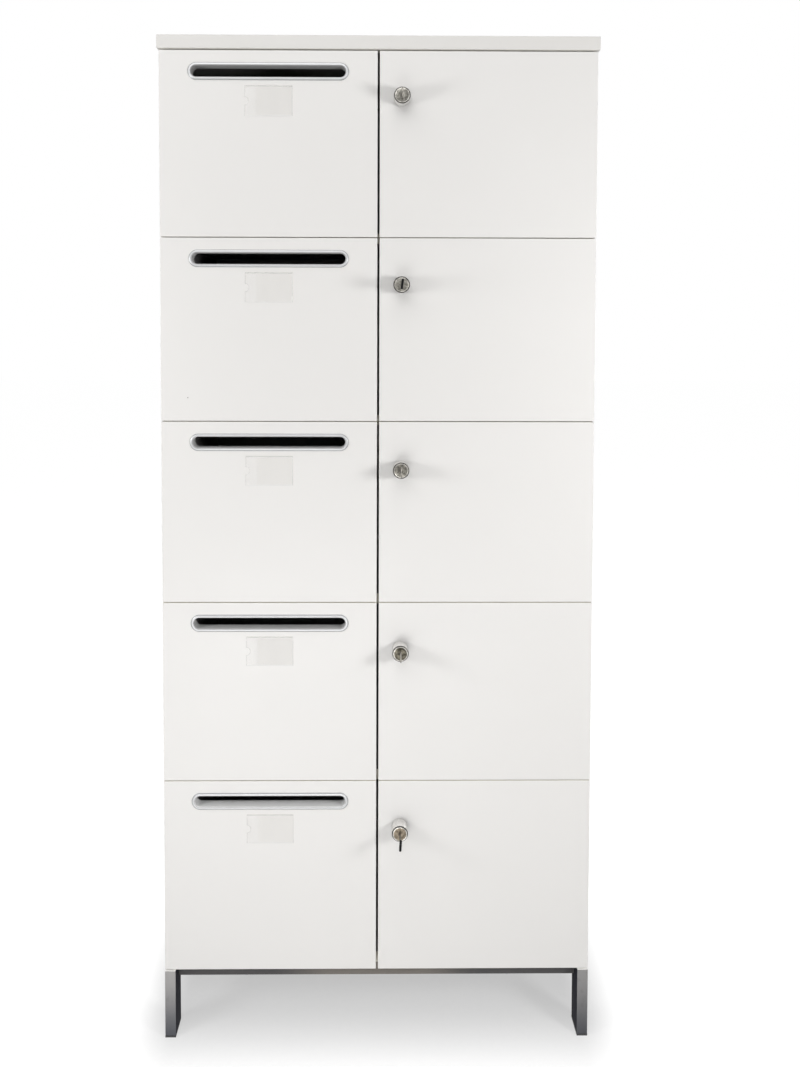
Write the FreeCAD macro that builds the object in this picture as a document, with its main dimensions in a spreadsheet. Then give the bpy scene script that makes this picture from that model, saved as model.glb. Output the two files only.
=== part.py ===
import FreeCAD, Part
import math
import os
import re
import Sketcher

# Locker with five rows of paired doors on a steel base.
# Millimetres, X to the right, Y to the back, Z up.
# The origin is on the floor, under the middle of the locker with its keys in.

doc = FreeCAD.newDocument("locker")

# Driving dimensions

ROWS = 5
BLACK_KEY_ROWS = (2, 5)
TURNED_KEY_ROW = 2

SIZES = {
    # Carcass
    "height": 1875,
    "width": 800,
    "depth": 425,
    "board": 19,
    "back_board": 8,
    "top_board": 25,
    "top_overhang": 4,
    "top_gap": 3,
    "top_radius": 2,
    # Doors
    "lowest_extra": 25,
    "row_gap": 1.5,
    "centre_gap": 4,
    "side_reveal": 0.5,
    "door_board": 18,
    "door_gap": 3,
    "door_radius": 1,
    # Steel base
    "base_height": 129,
    "foot_gap": 3,
    "leg_width": 20,
    "leg_depth": 40,
    "rail_height": 25,
    "rail_depth": 20,
    "tube_wall": 2,
    "glide_height": 4,
    "glide_plug": 16,
    "glide_fit": 0.2,
    "bolt_reach": 250,
    "bolt_diameter": 6,
    "bolt_head": 12,
    "bolt_head_height": 4,
    "bolt_depth": 12,
    "bolt_fit": 0.2,
    # Letter slot frame
    "slot_drop": 38,
    "slot_length": 281,
    "slot_height": 20,
    "slot_wall": 2,
    "slot_border": 6,
    "slot_flange": 2,
    "slot_tail": 1,
    "slot_fit": 0.2,
    # Label pocket
    "pocket_drop": 91,
    "pocket_width": 88,
    "pocket_height": 55,
    "pocket_thickness": 0.8,
    "pocket_notch": 7,
    # Cup hinge
    "hinge_drop": 75,
    "hinge_spacing": 185,
    "cup_edge": 3.2,
    "cup_diameter": 35,
    "cup_depth": 12.5,
    "cup_wall": 1,
    "cup_fit": 0.1,
    "rim_lip": 0.5,
    "rim_height": 1,
    "wing_offset": 9.5,
    "wing_width": 13,
    "wing_height": 58,
    "boss_pitch": 45,
    "boss_diameter": 8,
    "boss_height": 0.8,
    "pin_setback": 4.6,
    "pin_depth": 8.5,
    "pin_diameter": 3,
    "pin_length": 17.8,
    "running_fit": 0.05,
    "knuckle_diameter": 4.8,
    "nose_width": 10,
    "nose_sheet": 2.4,
    "lug_reach": 3.6,
    "lug_top": 3,
    "lug_play": 0.3,
    "arm_width": 12,
    "arm_thickness": 6,
    "arm_start": 8.5,
    "arm_tail": 20,
    "arm_lap": 4,
    "hinge_plate": 3,
    "plate_setback": 37,
    "plate_width": 20,
    "plate_height": 48,
    "screw_pitch": 32,
    "screw_diameter": 5,
    "screw_depth": 11,
    "screw_head": 8,
    "screw_head_height": 1.5,
    "screw_fit": 0.1,
    # Lock
    "lock_inset": 42,
    "lock_drop": 86,
    "knob_diameter": 30,
    "knob_length": 24,
    "knob_chamfer": 1.5,
    "sleeve_diameter": 19,
    "sleeve_end": 5,
    "sleeve_fit": 0.2,
    "nut_diameter": 26,
    "nut_thickness": 4,
    "plug_diameter": 12.5,
    "plug_recess": 0.6,
    "cam_play": 0.4,
    "cam_length": 55,
    "cam_width": 16,
    "cam_thickness": 2.5,
    "cam_screw_diameter": 4,
    "cam_screw_head": 9,
    "cam_screw_head_height": 2.5,
    "cam_screw_depth": 8,
    "cam_screw_fit": 0.1,
    "key_turn": 7,
    # Keeper of the lock on the left door
    "keeper_edge": 2.5,
    "keeper_width": 22,
    "keeper_sheet": 2,
    "keeper_play": 1.5,
    "keeper_clear": 4,
    "keeper_foot": 20,
    # Key
    "key_reach": 37,
    "plain_reach": 23.5,
    "key_fit": 0.2,
    "blade_thickness": 2.2,
    "blade_height": 8,
    "blade_depth": 24,
    "bow_diameter": 19,
    "bow_lap": 4,
    "bow_cover": 4,
    "cover_height": 19,
    "cover_length": 11,
    "ring_hole": 3.4,
    "ring_edge": 4,
}

sheet = doc.addObject("Spreadsheet::Sheet", "Sizes")
for cell_row, (alias, value) in enumerate(SIZES.items(), start=1):
    sheet.set(f"A{cell_row}", alias)
    sheet.set(f"B{cell_row}", str(value))
    sheet.setAlias(f"B{cell_row}", alias)
doc.recompute()


# Helpers: a size is written as a formula of the sheet's aliases

def formula(text):
    """The expression for a formula whose words are aliases of the sheet."""
    return re.sub(r"[a-z_]+", lambda word: "Sizes." + word.group(), text)


def bind(thing, name, text):
    thing.setExpression(name, formula(text))


def place(thing, x="0", y="0", z="0"):
    for axis, text in zip("xyz", (x, y, z)):
        bind(thing, f"Placement.Base.{axis}", text)
    return thing


def box(name, low, high):
    """Box between two corners, each three formulas."""
    solid = doc.addObject("Part::Box", name)
    for side, start, end in zip(("Length", "Width", "Height"), low, high):
        bind(solid, side, f"({end}) - ({start})")
    return place(solid, *low)


ALONG = {
    "x": FreeCAD.Rotation(FreeCAD.Vector(0, 1, 0), 90),
    "y": FreeCAD.Rotation(FreeCAD.Vector(1, 0, 0), -90),
    "z": FreeCAD.Rotation(),
}


def cylinder(name, axis, start, diameter, length):
    """Cylinder that starts at a point and runs along +X, +Y or +Z."""
    solid = doc.addObject("Part::Cylinder", name)
    solid.Placement = FreeCAD.Placement(FreeCAD.Vector(), ALONG[axis])
    bind(solid, "Radius", f"({diameter}) / 2")
    bind(solid, "Height", length)
    return place(solid, *start)


def group(name, parts):
    compound = doc.addObject("Part::Compound", name)
    compound.Links = parts
    return compound


def cut(name, base, tools):
    result = doc.addObject("Part::Cut", name)
    result.Base = base
    result.Tool = tools[0] if len(tools) == 1 else group(name + "_tools", tools)
    return result


def fuse(name, parts):
    result = doc.addObject("Part::MultiFuse", name)
    result.Shapes = parts
    return result


def copy(name, source, x="0", y="0", z="0"):
    link = doc.addObject("App::Link", name)
    link.LinkedObject = source
    link.LinkTransform = True
    return place(link, x, y, z)


def mirrored(name, source):
    """Copy of a piece on the other side of the locker's middle plane."""
    mirror = doc.addObject("Part::Mirroring", name)
    mirror.Source = source
    mirror.Normal = (1, 0, 0)
    return mirror


def sketch(body, name, role):
    """Empty sketch on one of the body's own origin planes."""
    plane = next(part for part in body.Origin.OriginFeatures if part.Role == role)
    drawing = body.newObject("Sketcher::SketchObject", name)
    drawing.AttachmentSupport = (plane, [""])
    drawing.MapMode = "FlatFace"
    return drawing


def number(drawing, text):
    return float(drawing.evalExpression(formula(text)))


def constrain(drawing, text, kind, *where):
    """Dimension of a sketch, bound to a formula."""
    index = drawing.addConstraint(Sketcher.Constraint(kind, *where, number(drawing, text)))
    bind(drawing, f"Constraints[{index}]", text)


def hold(drawing, geometry, end, point):
    """Dimensions that hold one end of a sketch's line or arc at a point."""
    constrain(drawing, point[0], "DistanceX", -1, 1, geometry, end)
    constrain(drawing, point[1], "DistanceY", -1, 1, geometry, end)


def vector(drawing, point):
    return FreeCAD.Vector(number(drawing, point[0]), number(drawing, point[1]), 0)


def polygon(drawing, points):
    first = drawing.GeometryCount
    for start, end in zip(points, points[1:] + points[:1]):
        drawing.addGeometry(Part.LineSegment(vector(drawing, start), vector(drawing, end)))
    for step, point in enumerate(points):
        after = first + (step + 1) % len(points)
        drawing.addConstraint(Sketcher.Constraint("Coincident", first + step, 2, after, 1))
        hold(drawing, first + step, 1, point)


def rectangle(drawing, left, low, right, high):
    polygon(drawing, [(left, low), (right, low), (right, high), (left, high)])


def circle(drawing, centre, diameter):
    radius = f"({diameter}) / 2"
    up = FreeCAD.Vector(0, 0, 1)
    ring = Part.Circle(vector(drawing, centre), up, number(drawing, radius))
    index = drawing.addGeometry(ring)
    hold(drawing, index, 3, centre)
    constrain(drawing, radius, "Radius", index)


def stadium(drawing, centre, length, height):
    """Slot outline: two level lines closed by two half circles."""
    x, y = centre
    radius = f"(({height}) / 2)"
    reach = f"((({length}) - ({height})) / 2)"
    up = FreeCAD.Vector(0, 0, 1)
    quarter = math.radians(90)
    ends = []
    for middle, turn in ((f"{x} - {reach}", quarter), (f"{x} + {reach}", -quarter)):
        ring = Part.Circle(vector(drawing, (middle, y)), up, number(drawing, radius))
        arc = drawing.addGeometry(Part.ArcOfCircle(ring, turn, turn + 2 * quarter))
        hold(drawing, arc, 3, (middle, y))
        constrain(drawing, radius, "Radius", arc)
        ends.append(arc)
    left, right = ends
    for start, start_end, finish, finish_end in ((left, 2, right, 1), (right, 2, left, 1)):
        a = drawing.getPoint(start, start_end)
        b = drawing.getPoint(finish, finish_end)
        line = drawing.addGeometry(Part.LineSegment(a, b))
        drawing.addConstraint(Sketcher.Constraint("Tangent", start, start_end, line, 1))
        drawing.addConstraint(Sketcher.Constraint("Tangent", line, 2, finish, finish_end))


def pad(body, drawing, length, backward=False):
    feature = body.newObject("PartDesign::Pad", drawing.Name + "_pad")
    feature.Profile = drawing
    feature.Reversed = backward
    bind(feature, "Length", length)
    return feature


def pocket(body, drawing, length):
    """Pocket from a sketch on the back of a board towards its front."""
    feature = body.newObject("PartDesign::Pocket", drawing.Name + "_pocket")
    feature.Profile = drawing
    feature.Reversed = True
    bind(feature, "Length", length)
    return feature


def rounded_board(label, width, height, thickness, radius):
    """Board with soft edges: its back lies on Y = 0, its lower left corner at X = Z = 0."""
    body = doc.addObject("PartDesign::Body", label)
    outline = sketch(body, label + "_outline", "XZ_Plane")
    rectangle(outline, "0", "0", width, height)
    slab = pad(body, outline, thickness)
    doc.recompute()
    rounding = body.newObject("PartDesign::Fillet", label + "_edges")
    rounding.Base = (slab, [f"Edge{edge + 1}" for edge in range(len(slab.Shape.Edges))])
    bind(rounding, "Radius", radius)
    return body


# Places that several pieces share

DOOR_FRONT = "((knob_length + key_reach - depth) / 2)"
DOOR_BACK = f"({DOOR_FRONT} + door_board)"
CARCASS_FRONT = f"({DOOR_BACK} + door_gap)"
REAR = f"({DOOR_FRONT} + depth)"
BACK_FRONT = f"({REAR} - back_board)"
SIDE = "(width / 2)"
INSIDE = "(width / 2 - board)"
DOOR_EDGE = "(width / 2 - side_reveal)"
DOOR_WIDTH = f"({DOOR_EDGE} - centre_gap / 2)"
LEFT_MIDDLE = f"(-({DOOR_EDGE} + centre_gap / 2) / 2)"
PIN_X = f"({DOOR_EDGE} - cup_edge - pin_setback)"
PIN_Y = f"({DOOR_BACK} - pin_depth)"
CUP_INSET = "(cup_edge + cup_diameter / 2)"
FOOT_LINE = "(base_height + foot_gap)"
DOORS_HEIGHT = f"(height - top_board - top_gap - {FOOT_LINE})"
ROW_PITCH = f"(({DOORS_HEIGHT} - lowest_extra) / {ROWS})"


def row_line(row):
    """Height of the line under a row of doors, or over the first with row 0."""
    if row == ROWS:
        return FOOT_LINE
    return f"({FOOT_LINE} + lowest_extra + {ROWS - row} * {ROW_PITCH})"


def door_top(row):
    return row_line(0) if row == 1 else f"({row_line(row - 1)} - row_gap / 2)"


def door_bottom(row):
    return row_line(ROWS) if row == ROWS else f"({row_line(row)} + row_gap / 2)"


UNDER_TOP = f"({row_line(0)} + top_gap)"
HINGE_DROPS = ("hinge_drop", "(hinge_drop + hinge_spacing)")
EVERY_ROW = range(1, ROWS + 1)

nodes = []


def keep(piece):
    nodes.append(piece)
    return piece


# Cup hinge of a right door, drawn round its pin, with X outward

ARM_FACE = "(cup_edge + pin_setback + side_reveal - board - hinge_plate)"
ARM_MIDDLE = f"({ARM_FACE} - arm_thickness / 2)"
PANEL_EDGE = "(door_gap + pin_depth)"
PLATE_Y = f"({PANEL_EDGE} + plate_setback)"
ARM_START = f"({PANEL_EDGE} + arm_start)"
CUP_X = "(pin_setback - cup_diameter / 2)"
WING_X = f"({CUP_X} - wing_offset)"


def hinge_arm():
    """Cranked arm, from the knuckle in the cup to the plate on the side panel."""
    half_nose = "nose_width / 2"
    half_arm = "arm_width / 2"
    half_sheet = "nose_sheet / 2"
    riser_far = f"{ARM_MIDDLE} - {half_sheet}"
    riser_near = f"{ARM_MIDDLE} + {half_sheet}"
    low = f"-{half_nose}"
    knuckle = cylinder("knuckle", "z", ("0", "0", low), "knuckle_diameter", "nose_width")
    nose = box("nose", (riser_far, f"-{half_sheet}", low), ("0", half_sheet, half_nose))
    riser = box(
        "riser",
        (riser_far, f"-{half_sheet}", low),
        (riser_near, f"{ARM_START} + arm_lap", half_nose),
    )
    beam = box(
        "beam",
        (f"{ARM_FACE} - arm_thickness", ARM_START, f"-{half_arm}"),
        (ARM_FACE, f"{PLATE_Y} + arm_tail", half_arm),
    )
    bore = cylinder("knuckle_bore", "z", ("0", "0", low), "pin_diameter + 2 * running_fit", "nose_width")
    return cut("arm", fuse("arm_blank", [knuckle, nose, riser, beam]), [bore])


def screw_heights():
    return (("low", "-screw_pitch / 2"), ("high", "screw_pitch / 2"))


def hinge_plate():
    """Plate under the arm, with a hole for each of its screws."""
    plate = box(
        "plate_blank",
        (ARM_FACE, f"{PLATE_Y} - plate_width / 2", "-plate_height / 2"),
        (f"{ARM_FACE} + hinge_plate", f"{PLATE_Y} + plate_width / 2", "plate_height / 2"),
    )
    holes = []
    for name, height in screw_heights():
        start = (ARM_FACE, PLATE_Y, height)
        wide = "screw_diameter + 2 * screw_fit"
        holes.append(cylinder(f"plate_hole_{name}", "x", start, wide, "hinge_plate"))
    return cut("plate", plate, holes)


def plate_screws():
    screws = []
    for name, height in screw_heights():
        start = (f"{ARM_FACE} - screw_head_height", PLATE_Y, height)
        head = cylinder(f"plate_screw_head_{name}", "x", start, "screw_head", "screw_head_height")
        length = "screw_head_height + hinge_plate + screw_depth"
        shank = cylinder(f"plate_screw_shank_{name}", "x", start, "screw_diameter", length)
        screws.append(fuse(f"plate_screw_{name}", [head, shank]))
    return group("plate_screws", screws)


def hinge_cup():
    """Cup sunk in the door, with two lugs that hold the pin."""
    bottom = "(pin_depth - cup_depth)"
    barrel = cylinder("cup_barrel", "y", (CUP_X, bottom, "0"), "cup_diameter", "cup_depth")
    rim = cylinder(
        "cup_rim", "y", (CUP_X, "pin_depth", "0"), "cup_diameter + 2 * rim_lip", "rim_height"
    )
    wings = box(
        "cup_wings",
        (f"{WING_X} - wing_width / 2", "pin_depth", "-wing_height / 2"),
        (f"{WING_X} + wing_width / 2", "pin_depth + rim_height", "wing_height / 2"),
    )
    blanks = [barrel, rim, wings]
    lugs = []
    for name, sign in (("low", "-"), ("high", "")):
        boss_start = (WING_X, "pin_depth + rim_height", f"{sign}boss_pitch / 2")
        blanks.append(cylinder(f"cup_boss_{name}", "y", boss_start, "boss_diameter", "boss_height"))
        ends = ["nose_width / 2 + lug_play", "cup_diameter / 2"]
        if sign:
            ends = [f"-({end})" for end in reversed(ends)]
        lug_low = ("-lug_reach", bottom, ends[0])
        lug_high = ("pin_setback", "lug_top", ends[1])
        lugs.append(box(f"cup_lug_{name}", lug_low, lug_high))
    hollow = cylinder(
        "cup_hollow",
        "y",
        (CUP_X, f"{bottom} + cup_wall", "0"),
        "cup_diameter - 2 * cup_wall",
        "cup_depth + rim_height",
    )
    shell = cut("cup_shell", fuse("cup_blank", blanks), [cut("cup_space", hollow, lugs)])
    low = "-pin_length / 2"
    bore = cylinder("cup_pin_bore", "z", ("0", "0", low), "pin_diameter", "pin_length")
    pin = cylinder("cup_pin", "z", ("0", "0", low), "pin_diameter", "pin_length")
    return group("cup", [cut("cup_bored", shell, [bore]), pin])


arm_right = group("arm_right", [hinge_arm(), hinge_plate()])
screws_right = plate_screws()
cup_right = hinge_cup()
SIDES = {
    "right": (arm_right, screws_right, cup_right, ""),
    "left": (
        mirrored("arm_left", arm_right),
        mirrored("screws_left", screws_right),
        mirrored("cup_left", cup_right),
        "-",
    ),
}

# Carcass


def side_panel_right():
    """Side board, with a bore for each screw of the hinge plates."""
    board = box(
        "side_blank", (INSIDE, CARCASS_FRONT, "base_height"), (SIDE, REAR, UNDER_TOP)
    )
    bores = []
    for row in EVERY_ROW:
        for drop_name, drop in zip(("upper", "lower"), HINGE_DROPS):
            for name, height in screw_heights():
                bore_name = f"side_bore_{row}_{drop_name}_{name}"
                middle = f"{door_top(row)} - {drop} + {height}"
                start = (INSIDE, f"{CARCASS_FRONT} + plate_setback", middle)
                wide = "screw_diameter + 2 * screw_fit"
                bores.append(cylinder(bore_name, "x", start, wide, "screw_depth + screw_fit"))
    return cut("side_panel_right", board, bores)


def top_panel():
    body = rounded_board("top_panel", "width + 2 * top_overhang", "top_board", "depth", "top_radius")
    return place(body, f"-{SIDE} - top_overhang", REAR, UNDER_TOP)


BOLT_PLACES = [
    (side + end, f"{sign}bolt_reach", y)
    for side, sign in (("left_", "-"), ("right_", ""))
    for end, y in (
        ("front", f"({DOOR_FRONT} + leg_depth - rail_depth / 2)"),
        ("rear", f"({REAR} - leg_depth + rail_depth / 2)"),
    )
]
RAIL_LOW = "(base_height - rail_height)"


def bottom_panel():
    """Floor of the lowest row, bored from below for the base's bolts."""
    board = box(
        "bottom_blank",
        (f"-{INSIDE}", CARCASS_FRONT, "base_height"),
        (INSIDE, BACK_FRONT, "base_height + board"),
    )
    bores = []
    for name, x, y in BOLT_PLACES:
        wide = "bolt_diameter + 2 * bolt_fit"
        start = (x, y, "base_height")
        bores.append(cylinder(f"bottom_bore_{name}", "z", start, wide, "bolt_depth + bolt_fit"))
    return cut("bottom_panel", board, bores)


def shelves():
    boards = []
    for row in range(1, ROWS):
        low = (f"-{INSIDE}", CARCASS_FRONT, f"{row_line(row)} - board / 2")
        high = (INSIDE, BACK_FRONT, f"{row_line(row)} + board / 2")
        boards.append(box(f"shelf_{row}", low, high))
    return group("shelves", boards)


def back_panel():
    return box(
        "back_panel", (f"-{INSIDE}", BACK_FRONT, "base_height"), (INSIDE, REAR, UNDER_TOP)
    )


side_right = keep(side_panel_right())
keep(mirrored("side_panel_left", side_right))
keep(top_panel())
keep(bottom_panel())
keep(shelves())
keep(back_panel())

# Steel base: four tube legs joined by four rails


def tube(name, low, high, open_axis, capped=False):
    """Square tube: a box with a hollow along one axis, closed at its high end if capped."""
    inner_low = list(low)
    inner_high = list(high)
    for axis in range(3):
        if axis != open_axis:
            inner_low[axis] = f"{low[axis]} + tube_wall"
        if axis != open_axis or capped:
            inner_high[axis] = f"{high[axis]} - tube_wall"
    return cut(name, box(name + "_bar", low, high), [box(name + "_hollow", inner_low, inner_high)])


FRONT_LEG = (DOOR_FRONT, f"{DOOR_FRONT} + leg_depth")
REAR_LEG = (f"{REAR} - leg_depth", REAR)
LEFT_LEG = (f"-{SIDE}", f"-{SIDE} + leg_width")
RIGHT_LEG = (f"{SIDE} - leg_width", SIDE)
LEG_PLACES = [
    (side + end, across, along)
    for side, across in (("left_", LEFT_LEG), ("right_", RIGHT_LEG))
    for end, along in (("front", FRONT_LEG), ("rear", REAR_LEG))
]


def base_frame():
    bars = []
    for name, across, along in LEG_PLACES:
        low = (across[0], along[0], "glide_height")
        high = (across[1], along[1], "base_height")
        bars.append(tube(f"leg_{name}", low, high, 2, capped=True))
    for name, across in (("left", LEFT_LEG), ("right", RIGHT_LEG)):
        low = (across[0], FRONT_LEG[1], RAIL_LOW)
        high = (across[1], REAR_LEG[0], "base_height")
        bars.append(tube(f"rail_{name}", low, high, 1))
    cross_rails = (
        ("front", f"{FRONT_LEG[1]} - rail_depth", FRONT_LEG[1]),
        ("rear", REAR_LEG[0], f"{REAR_LEG[0]} + rail_depth"),
    )
    for name, near, far in cross_rails:
        low = (LEFT_LEG[1], near, RAIL_LOW)
        high = (RIGHT_LEG[0], far, "base_height")
        rail = tube(f"rail_{name}_plain", low, high, 0)
        holes = []
        for bolt_name, x, y in BOLT_PLACES:
            if bolt_name.endswith(name):
                wide = "bolt_diameter + 2 * bolt_fit"
                start = (x, y, RAIL_LOW)
                holes.append(cylinder(f"rail_hole_{bolt_name}", "z", start, wide, "rail_height"))
        bars.append(cut(f"rail_{name}", rail, holes))
    return group("base_frame", bars)


def foot_glides():
    """Plastic feet: a cap under each leg and a plug inside its tube."""
    glides = []
    inset = "tube_wall + glide_fit"
    for name, across, along in LEG_PLACES:
        cap = box(
            f"glide_cap_{name}",
            (across[0], along[0], "0"),
            (across[1], along[1], "glide_height"),
        )
        plug = box(
            f"glide_plug_{name}",
            (f"{across[0]} + {inset}", f"{along[0]} + {inset}", "0"),
            (f"{across[1]} - ({inset})", f"{along[1]} - ({inset})", "glide_height + glide_plug"),
        )
        glides.append(fuse(f"glide_{name}", [cap, plug]))
    return group("foot_glides", glides)


def base_bolts():
    bolts = []
    for name, x, y in BOLT_PLACES:
        start = (x, y, f"{RAIL_LOW} - bolt_head_height")
        head = cylinder(f"bolt_head_{name}", "z", start, "bolt_head", "bolt_head_height")
        length = "bolt_head_height + rail_height + bolt_depth"
        shank = cylinder(f"bolt_shank_{name}", "z", start, "bolt_diameter", length)
        bolts.append(fuse(f"bolt_{name}", [head, shank]))
    return bolts


keep(base_frame())
keep(foot_glides())

# Hinge arms and screws, two hinges to a door

arms = []
screws = base_bolts()
for side, (arm, plate_screw_pair, _, sign) in SIDES.items():
    for row in EVERY_ROW:
        for drop_name, drop in zip(("upper", "lower"), HINGE_DROPS):
            where = (f"{sign}{PIN_X}", PIN_Y, f"{door_top(row)} - {drop}")
            arms.append(copy(f"arm_{side}_{row}_{drop_name}", arm, *where))
            screws.append(copy(f"screws_{side}_{row}_{drop_name}", plate_screw_pair, *where))
keep(group("hinge_arms", arms))
keep(group("screws", screws))

# Doors


def door(side, row):
    """Door board with its hinge bores, and a letter slot or a lock bore."""
    label = f"door_{side}_{row}"
    height = f"({door_top(row)} - {door_bottom(row)})"
    body = rounded_board(label, DOOR_WIDTH, height, "door_board", "door_radius")
    hinge_x = CUP_INSET if side == "left" else f"({DOOR_WIDTH} - {CUP_INSET})"
    bores = sketch(body, label + "_cups", "XZ_Plane")
    for drop in HINGE_DROPS:
        circle(bores, (hinge_x, f"{height} - {drop}"), "cup_diameter + 2 * cup_fit")
    pocket(body, bores, "cup_depth + cup_fit")
    opening = sketch(body, label + "_opening", "XZ_Plane")
    if side == "left":
        middle = (f"{DOOR_WIDTH} / 2", f"{height} - slot_drop")
        margin = "2 * (slot_wall + slot_fit)"
        stadium(opening, middle, f"slot_length + {margin}", f"slot_height + {margin}")
        left_edge = f"-{DOOR_EDGE}"
    else:
        axis = ("lock_inset - centre_gap / 2", f"{height} - lock_drop")
        circle(opening, axis, "sleeve_diameter + 2 * sleeve_fit")
        left_edge = "centre_gap / 2"
    pocket(body, opening, "door_board")
    return place(body, left_edge, DOOR_BACK, door_bottom(row))


for row in EVERY_ROW:
    for side in SIDES:
        keep(door(side, row))

# Cups of each door's hinges

for side, (_, _, cup, sign) in SIDES.items():
    for row in EVERY_ROW:
        label = f"hinge_cups_{side}_{row}"
        pair = []
        for drop_name, drop in zip(("upper", "lower"), HINGE_DROPS):
            pair.append(copy(f"{label}_{drop_name}", cup, z=f"-{drop}"))
        keep(place(group(label, pair), f"{sign}{PIN_X}", PIN_Y, door_top(row)))

# Letter slot frame, drawn round its middle on the door's front


def letter_slot_frame():
    body = doc.addObject("PartDesign::Body", "slot_frame")
    for name, margin, length, backward in (
        ("flange", "2 * slot_border", "slot_flange", False),
        ("sleeve", "2 * slot_wall", "door_board + slot_tail", True),
    ):
        ring = sketch(body, f"slot_{name}", "XZ_Plane")
        stadium(ring, ("0", "0"), f"slot_length + {margin}", f"slot_height + {margin}")
        stadium(ring, ("0", "0"), "slot_length", "slot_height")
        pad(body, ring, length, backward)
    return body


def label_pocket():
    """Clear pocket stuck on the door, with a thumb notch at its left end."""
    sheet_low = ("-pocket_width / 2", "-pocket_thickness", "-pocket_height / 2")
    sheet_high = ("pocket_width / 2", "0", "pocket_height / 2")
    notch_start = ("-pocket_width / 2", "-pocket_thickness", "0")
    notch = cylinder("pocket_notch", "y", notch_start, "2 * pocket_notch", "pocket_thickness")
    return cut("pocket", box("pocket_sheet", sheet_low, sheet_high), [notch])


# Lock, drawn round its axis with Y = 0 on the door's front

SLEEVE_END = "(door_board + sleeve_end)"
PLUG_END = f"({SLEEVE_END} + cam_play)"
CAM_BACK = f"({PLUG_END} + cam_thickness)"
PLUG_BORE = "(plug_diameter / 2 + running_fit)"


def lock_housing():
    """Knob and threaded sleeve in one turning, and the nut behind the door."""
    knob = doc.addObject("PartDesign::Body", "lock_knob")
    profile = sketch(knob, "lock_knob_profile", "XY_Plane")
    knob_radius = "knob_diameter / 2"
    sleeve_radius = "sleeve_diameter / 2"
    outline = [
        (PLUG_BORE, "-knob_length"),
        (f"{knob_radius} - knob_chamfer", "-knob_length"),
        (knob_radius, "-knob_length + knob_chamfer"),
        (knob_radius, "0"),
        (sleeve_radius, "0"),
        (sleeve_radius, SLEEVE_END),
        (PLUG_BORE, SLEEVE_END),
    ]
    polygon(profile, outline)
    turning = knob.newObject("PartDesign::Revolution", "lock_knob_turning")
    turning.Profile = profile
    turning.ReferenceAxis = (profile, ["V_Axis"])
    start = ("0", "door_board", "0")
    disc = cylinder("nut_disc", "y", start, "nut_diameter", "nut_thickness")
    hole = cylinder("nut_hole", "y", start, "sleeve_diameter + 2 * sleeve_fit", "nut_thickness")
    return [knob, cut("lock_nut", disc, [hole])]


def lock_plug():
    """Plug that the key turns, its cam and the cam's screw."""
    front = "(-knob_length + plug_recess)"
    rod = cylinder("plug_rod", "y", ("0", front, "0"), "plug_diameter", f"{PLUG_END} - {front}")
    keyway = box(
        "keyway",
        ("-blade_thickness / 2 - key_fit", "-knob_length", "-blade_height / 2 - key_fit"),
        (
            "blade_thickness / 2 + key_fit",
            "-knob_length + blade_depth + key_fit",
            "blade_height / 2 + key_fit",
        ),
    )
    wide = "cam_screw_diameter + 2 * cam_screw_fit"
    bore_start = ("0", f"{PLUG_END} - cam_screw_depth - cam_screw_fit", "0")
    bore = cylinder("plug_bore", "y", bore_start, wide, "cam_screw_depth + cam_screw_fit")
    plug = cut("plug", rod, [keyway, bore])
    bar = box(
        "cam_bar",
        ("-cam_width / 2", PLUG_END, "-cam_length"),
        ("cam_width / 2", CAM_BACK, "0"),
    )
    eye = cylinder("cam_eye", "y", ("0", PLUG_END, "0"), "cam_width", "cam_thickness")
    hole = cylinder("cam_hole", "y", ("0", PLUG_END, "0"), wide, "cam_thickness")
    cam = cut("cam", fuse("cam_blank", [bar, eye]), [hole])
    head_start = ("0", CAM_BACK, "0")
    head = cylinder(
        "cam_screw_cap", "y", head_start, "cam_screw_head", "cam_screw_head_height"
    )
    shank = cylinder(
        "cam_screw_shank",
        "y",
        ("0", f"{PLUG_END} - cam_screw_depth", "0"),
        "cam_screw_diameter",
        "cam_screw_depth + cam_thickness + cam_screw_head_height",
    )
    return [plug, cam, fuse("cam_screw", [head, shank])]


def key_blade(label, neck):
    """Flat blade, from a neck inside its bow to its end in the plug."""
    low = ("-blade_thickness / 2", neck, "-blade_height / 2")
    return box(label, low, ("blade_thickness / 2", "-knob_length + blade_depth", "blade_height / 2"))


def ring_hole(label, tip, thickness):
    start = (f"-{thickness} / 2", f"{tip} + ring_edge", "0")
    return cylinder(label, "x", start, "ring_hole", thickness)


def bare_key():
    """Key of one flat blank with a round bow."""
    tip = "(-knob_length - plain_reach)"
    blade = key_blade("bare_blade", f"{tip} + bow_diameter - bow_lap")
    middle = ("-blade_thickness / 2", f"{tip} + bow_diameter / 2", "0")
    disc = cylinder("bare_bow", "x", middle, "bow_diameter", "blade_thickness")
    ring = ring_hole("bare_ring", tip, "blade_thickness")
    return [cut("bare_key", fuse("bare_blank", [blade, disc]), [ring])]


def covered_key():
    """Longer key with an upright oval cover as its bow."""
    tip = "(-knob_length - key_reach)"
    blade = key_blade("covered_blade", f"{tip} + cover_length - bow_lap")
    rise = "((cover_height - cover_length) / 2)"
    slab = box(
        "cover_slab",
        ("-bow_cover / 2", tip, f"-{rise}"),
        ("bow_cover / 2", f"{tip} + cover_length", rise),
    )
    rounds = []
    for name, height in (("upper", rise), ("lower", f"-{rise}")):
        middle = ("-bow_cover / 2", f"{tip} + cover_length / 2", height)
        rounds.append(cylinder(f"cover_{name}", "x", middle, "cover_length", "bow_cover"))
    ring = ring_hole("cover_ring", tip, "bow_cover")
    return [blade, cut("key_cover", fuse("cover_blank", [slab] + rounds), [blade, ring])]


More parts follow.
